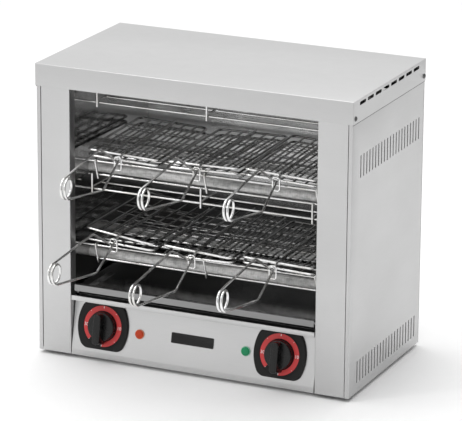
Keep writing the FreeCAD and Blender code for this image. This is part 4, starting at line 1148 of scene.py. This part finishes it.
# %% Printed scales
RING_INSIDE = 20.8 * MM
RING_OUTSIDE = 27.6 * MM
RING_MIDDLE = (RING_INSIDE + RING_OUTSIDE) / 2
SLIVER = 0.01 * MM
INK_TOP = WELL_FLOOR + 0.08 * MM
SCALE_START = -90
SCALE_SWEEP = -315
FIGURE_SIZE = 6.2 * MM
FIGURE_THICK = 0.04 * MM
FIGURE_LIFT = 0.05 * MM
TICK_MARGIN = 0.6 * MM
TICK_BASE = 0.02 * MM
TICK_RISE = 0.06 * MM


def scale_ring(name):
    """The red ring, from the lower left clockwise to the bottom, lying flat round the origin."""
    ring = block(name, (RING_INSIDE, -SLIVER, WELL_FLOOR), (RING_OUTSIDE, SLIVER, INK_TOP))
    ring.data.transform(Matrix.Rotation(math.radians(SCALE_START), 4, "Z"))
    choose(ring, "faces", lambda face: face.normal.x > 0.9)
    bpy.ops.mesh.spin(steps=63, angle=math.radians(SCALE_SWEEP), center=(0, 0, 0), axis=(0, 0, 1))
    bpy.ops.mesh.select_all(action="SELECT")
    bpy.ops.mesh.remove_doubles(threshold=SLIVER / 2)
    close_outwards()
    return ring


def figure(words, across):
    """White figures on the ring, beside the knob."""
    bpy.ops.object.select_all(action="DESELECT")
    bpy.ops.object.text_add()
    text = bpy.context.object.data
    text.body = words
    text.size = FIGURE_SIZE
    text.align_x = "CENTER"
    text.align_y = "CENTER"
    text.extrude = FIGURE_THICK
    bpy.ops.object.convert(target="MESH")
    mark = bpy.context.object
    mark.data.transform(Matrix.Translation((across, 0, INK_TOP + FIGURE_LIFT)))
    return mark


def tick(angle, length, width):
    """A white bar across the ring's outer part at an angle in degrees."""
    outer = RING_OUTSIDE - TICK_MARGIN
    low = (outer - length, -width / 2, INK_TOP - TICK_BASE)
    bar = block("tick", low, (outer, width / 2, INK_TOP + TICK_RISE))
    bar.data.transform(Matrix.Rotation(math.radians(angle), 4, "Z"))
    return bar


ring = scale_ring("ring")
marks = [figure("10", RING_MIDDLE), figure("30", -RING_MIDDLE)]
for step in range(8):
    angle = SCALE_START + 45 * step
    if step in (0, 4):
        marks.append(tick(angle, 2.6 * MM, 1.0 * MM))
    elif step not in (2, 6):
        marks.append(tick(angle, 1.2 * MM, 0.5 * MM))
figures = joined(marks, "marks")
for side, place in knob_places.items():
    added(placed(ring, place, "scale_ring_" + side), "cabinet", "dial_plastic", "print_red")
    added(placed(figures, place, "scale_marks_" + side), "cabinet", "dial_plastic", "print_white")
discard(ring, figures)
print("scales printed on", len(knob_places), "plates")

# %% [markdown]
# A knob is a round skirt with a thick bar to turn it by. The skirt is a cylinder, narrowed upwards. The
# bar is a box that reaches past the skirt. The two are one moulding, so a Boolean joins them.

# %% Knobs
KNOB_FLOOR = 2.8 * MM
KNOB_RADIUS = 20 * MM
SKIRT_HEIGHT = 8 * MM
GRIP_HEIGHT = 19.5 * MM
GRIP_HALF = 6 * MM
GRIP_LONG = 24 * MM
GRIP_SHORT = 18.5 * MM


def knob(name):
    """One knob standing on the origin."""
    skirt = cylinder(name, 72, KNOB_RADIUS, SKIRT_HEIGHT, (0, 0, KNOB_FLOOR + SKIRT_HEIGHT / 2))
    choose(skirt, "faces", faces_up)
    shrink(0.94)
    close()
    finished(skirt, softening(1.3, 4))
    grip_top = KNOB_FLOOR + GRIP_HEIGHT
    grip = block("grip", (-GRIP_HALF, -GRIP_LONG, KNOB_FLOOR), (GRIP_HALF, GRIP_SHORT, grip_top))
    choose(grip, "faces", faces_up)
    shrink(0.86, 0.94)
    close()
    rounded_edges(grip, lambda a, b: abs(a.z - b.z) > GRIP_HEIGHT / 2, 4.2, 6)
    finished(grip, softening(1.2, 4))
    return smoothed(combined(skirt, grip, "UNION"), 32)


knob_pattern = knob("knob")
for side, place in knob_places.items():
    moulding = placed(knob_pattern, place, "knob_moulding_" + side)
    dress(moulding, side + "_knob", "knob_plastic", "knob_" + side)
discard(knob_pattern)
print("knobs", [round(size / MM, 1) for size in moulding.dimensions])

# %% [markdown]
# A pilot lamp has a cut lens, which glints like a gem, in a thin collar. The lens is a cylinder of twelve
# sides, drawn in twice at the top, so flat facets are left all round.

# %% Pilot lamps
LENS_RADIUS = 5.6 * MM
LENS_BODY = 1.4 * MM
COLLAR_RADIUS = 6.5 * MM
COLLAR_HEIGHT = 1.4 * MM
COLLAR_RIM = 0.8 * MM
COLLAR_WELL = 0.4 * MM


def lens(name):
    """A faceted lens, lying flat round the origin."""
    foot = COLLAR_HEIGHT - COLLAR_WELL
    glass = cylinder(name, 12, LENS_RADIUS, LENS_BODY, (0, 0, foot + LENS_BODY / 2))
    choose(glass, "faces", faces_up)
    for climb, share in ((0.7, 0.72), (0.4, 0.5)):
        extrude((0, 0, climb * MM))
        shrink(share)
        bpy.ops.transform.rotate(value=math.radians(15), orient_axis="Z", center_override=(0, 0, 0))
    close()
    return glass


def collar(name):
    """The ring that holds the lens."""
    ring = cylinder(name, 40, COLLAR_RADIUS, COLLAR_HEIGHT, (0, 0, COLLAR_HEIGHT / 2))
    choose(ring, "faces", faces_up)
    bpy.ops.mesh.inset(thickness=COLLAR_RIM)
    extrude((0, 0, -COLLAR_WELL))
    close()
    return smoothed(finished(ring, softening(0.25)))


LAMP_RISE = at(0, 0, 40.5).z
glass = lens("lens")
holder = collar("collar")
for colour in ("orange", "green"):
    low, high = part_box("lamp_" + colour)
    place = on_panel((low.x + high.x) / 2, LAMP_RISE)
    dress(placed(glass, place, "lens_" + colour), "cabinet", colour + "_lens")
    dress(placed(holder, place, "collar_" + colour), "cabinet", colour + "_lens", "lamp_" + colour,
          finish=colour + "_rim")
discard(glass, holder)
print("two lamps")

# %% [markdown]
# A small black plate sits between the lamps: a thin bare rectangle with round corners and a fine border.

# %% Bare plate
BADGE_WIDTH = 61 * MM
BADGE_HEIGHT = 14 * MM
BADGE_ACROSS = -0.5 * MM
BADGE_RISE = at(0, 0, 43.2).z
badge = started(bpy.ops.mesh.primitive_plane_add, "bare_badge", size=1)
badge.data.transform(Matrix.Diagonal((BADGE_WIDTH, BADGE_HEIGHT, 1, 1)))
choose(badge, "points")
bpy.ops.mesh.bevel(affect="VERTICES", offset=1.2 * MM, segments=5)
bpy.ops.mesh.select_all(action="SELECT")
extrude((0, 0, 0.9 * MM))
bpy.ops.mesh.inset(thickness=0.6 * MM)
bpy.ops.transform.translate(value=(0, 0, -0.2 * MM))
close_outwards()
finished(badge, softening(0.12))
badge.data.transform(on_panel(BADGE_ACROSS, BADGE_RISE))
added(smoothed(badge), "cabinet", "dial_plastic", "badge_plastic")

# %% [markdown]
# Small parts: rubber feet with a hollow underneath, domed screws with a cross slot, and the cable gland.

# %% Feet
FOOT_RADIUS = 11 * MM
FOOT_RIM = 3 * MM
FOOT_HOLLOW = 2 * MM
low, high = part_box("feet")
feet = []
for across in (low.x + FOOT_RADIUS, high.x - FOOT_RADIUS):
    for depth in (low.y + FOOT_RADIUS, high.y - FOOT_RADIUS):
        foot = cylinder("foot", 36, FOOT_RADIUS, high.z - low.z, (across, depth, (low.z + high.z) / 2))
        choose(foot, "faces", lambda face: face.normal.z < -0.9)
        shrink(0.88, about=(across, depth, 0))
        bpy.ops.mesh.inset(thickness=FOOT_RIM)
        extrude((0, 0, FOOT_HOLLOW))
        close()
        feet.append(finished(foot, softening(0.7, 3)))
dress(smoothed(joined(feet, "rubber_feet")), "cabinet", "foot_rubber", "feet")

# %% Screws
SCREW_RADIUS = 3.7 * MM
SCREW_HEAD = 1.6 * MM
SLOT_LONG = 2.6 * MM
SLOT_THIN = 0.35 * MM
COVER_SCREWS = (4.7, 240.3)
COVER_SCREW_RISE = 372
REAR_SCREWS = (-217, 0, 217)
REAR_SCREW_RISES = (12, 353)


def screw(name):
    """A domed head with a cross slot, standing on the origin along Z."""
    head = cylinder(name, 28, SCREW_RADIUS, SCREW_HEAD, (0, 0, SCREW_HEAD / 2))
    choose(head, "faces", faces_up)
    shrink(0.62)
    close()
    finished(head, softening(0.5, 3))
    for across, deep in ((SLOT_LONG, SLOT_THIN), (SLOT_THIN, SLOT_LONG)):
        combined(head, block("cutter", (-across, -deep, SCREW_HEAD / 2), (across, deep, 3 * MM)))
    return smoothed(head)


def screwed(spot, angle, axis):
    """A copy of the screw at a place, turned to face out of the sheet."""
    return placed(screw_pattern, Matrix.Translation(spot) @ Matrix.Rotation(angle, 4, axis))


screw_pattern = screw("screw")
low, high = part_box("screws")
screws = []
for side, face in ((-1, low.x + SCREW_HEAD), (1, high.x - SCREW_HEAD)):
    for depth in COVER_SCREWS:
        spot = at(0, depth, COVER_SCREW_RISE)
        spot.x = face
        screws.append(screwed(spot, side * math.pi / 2, "Y"))
for across in REAR_SCREWS:
    for height in REAR_SCREW_RISES:
        spot = at(across, 0, height)
        spot.y = high.y - SCREW_HEAD
        screws.append(screwed(spot, -math.pi / 2, "X"))
discard(screw_pattern)
dress(joined(screws, "screw_heads"), "cabinet", "screw_steel", "screws")
print(len(screws), "screws")

# %% Cable gland
gland = finished(sheet_copy("cable_gland", "gland_moulding"), softening(0.6, 3))
dress(smoothed(gland), "cabinet", "gland_plastic", "cable_gland")

# %% [markdown]
# The chamber's sheets, the timers, the shafts and the terminal block have the right shape already. They
# stay and get the finish of their slot, and the rear wall gets its painted shade.

# %% Finishes of the solids that stay
for entry in frame["record"]["subparts"]:
    materials = nodes[entry["node"]].data.materials
    materials.clear()
    materials.append(finishes[entry["material_slot"]])
nodes["chamber_back"].data.materials[0] = finishes["reflector_steel"]
print("solids still shown:", sorted(name for name, node in nodes.items() if not node.hide_render))
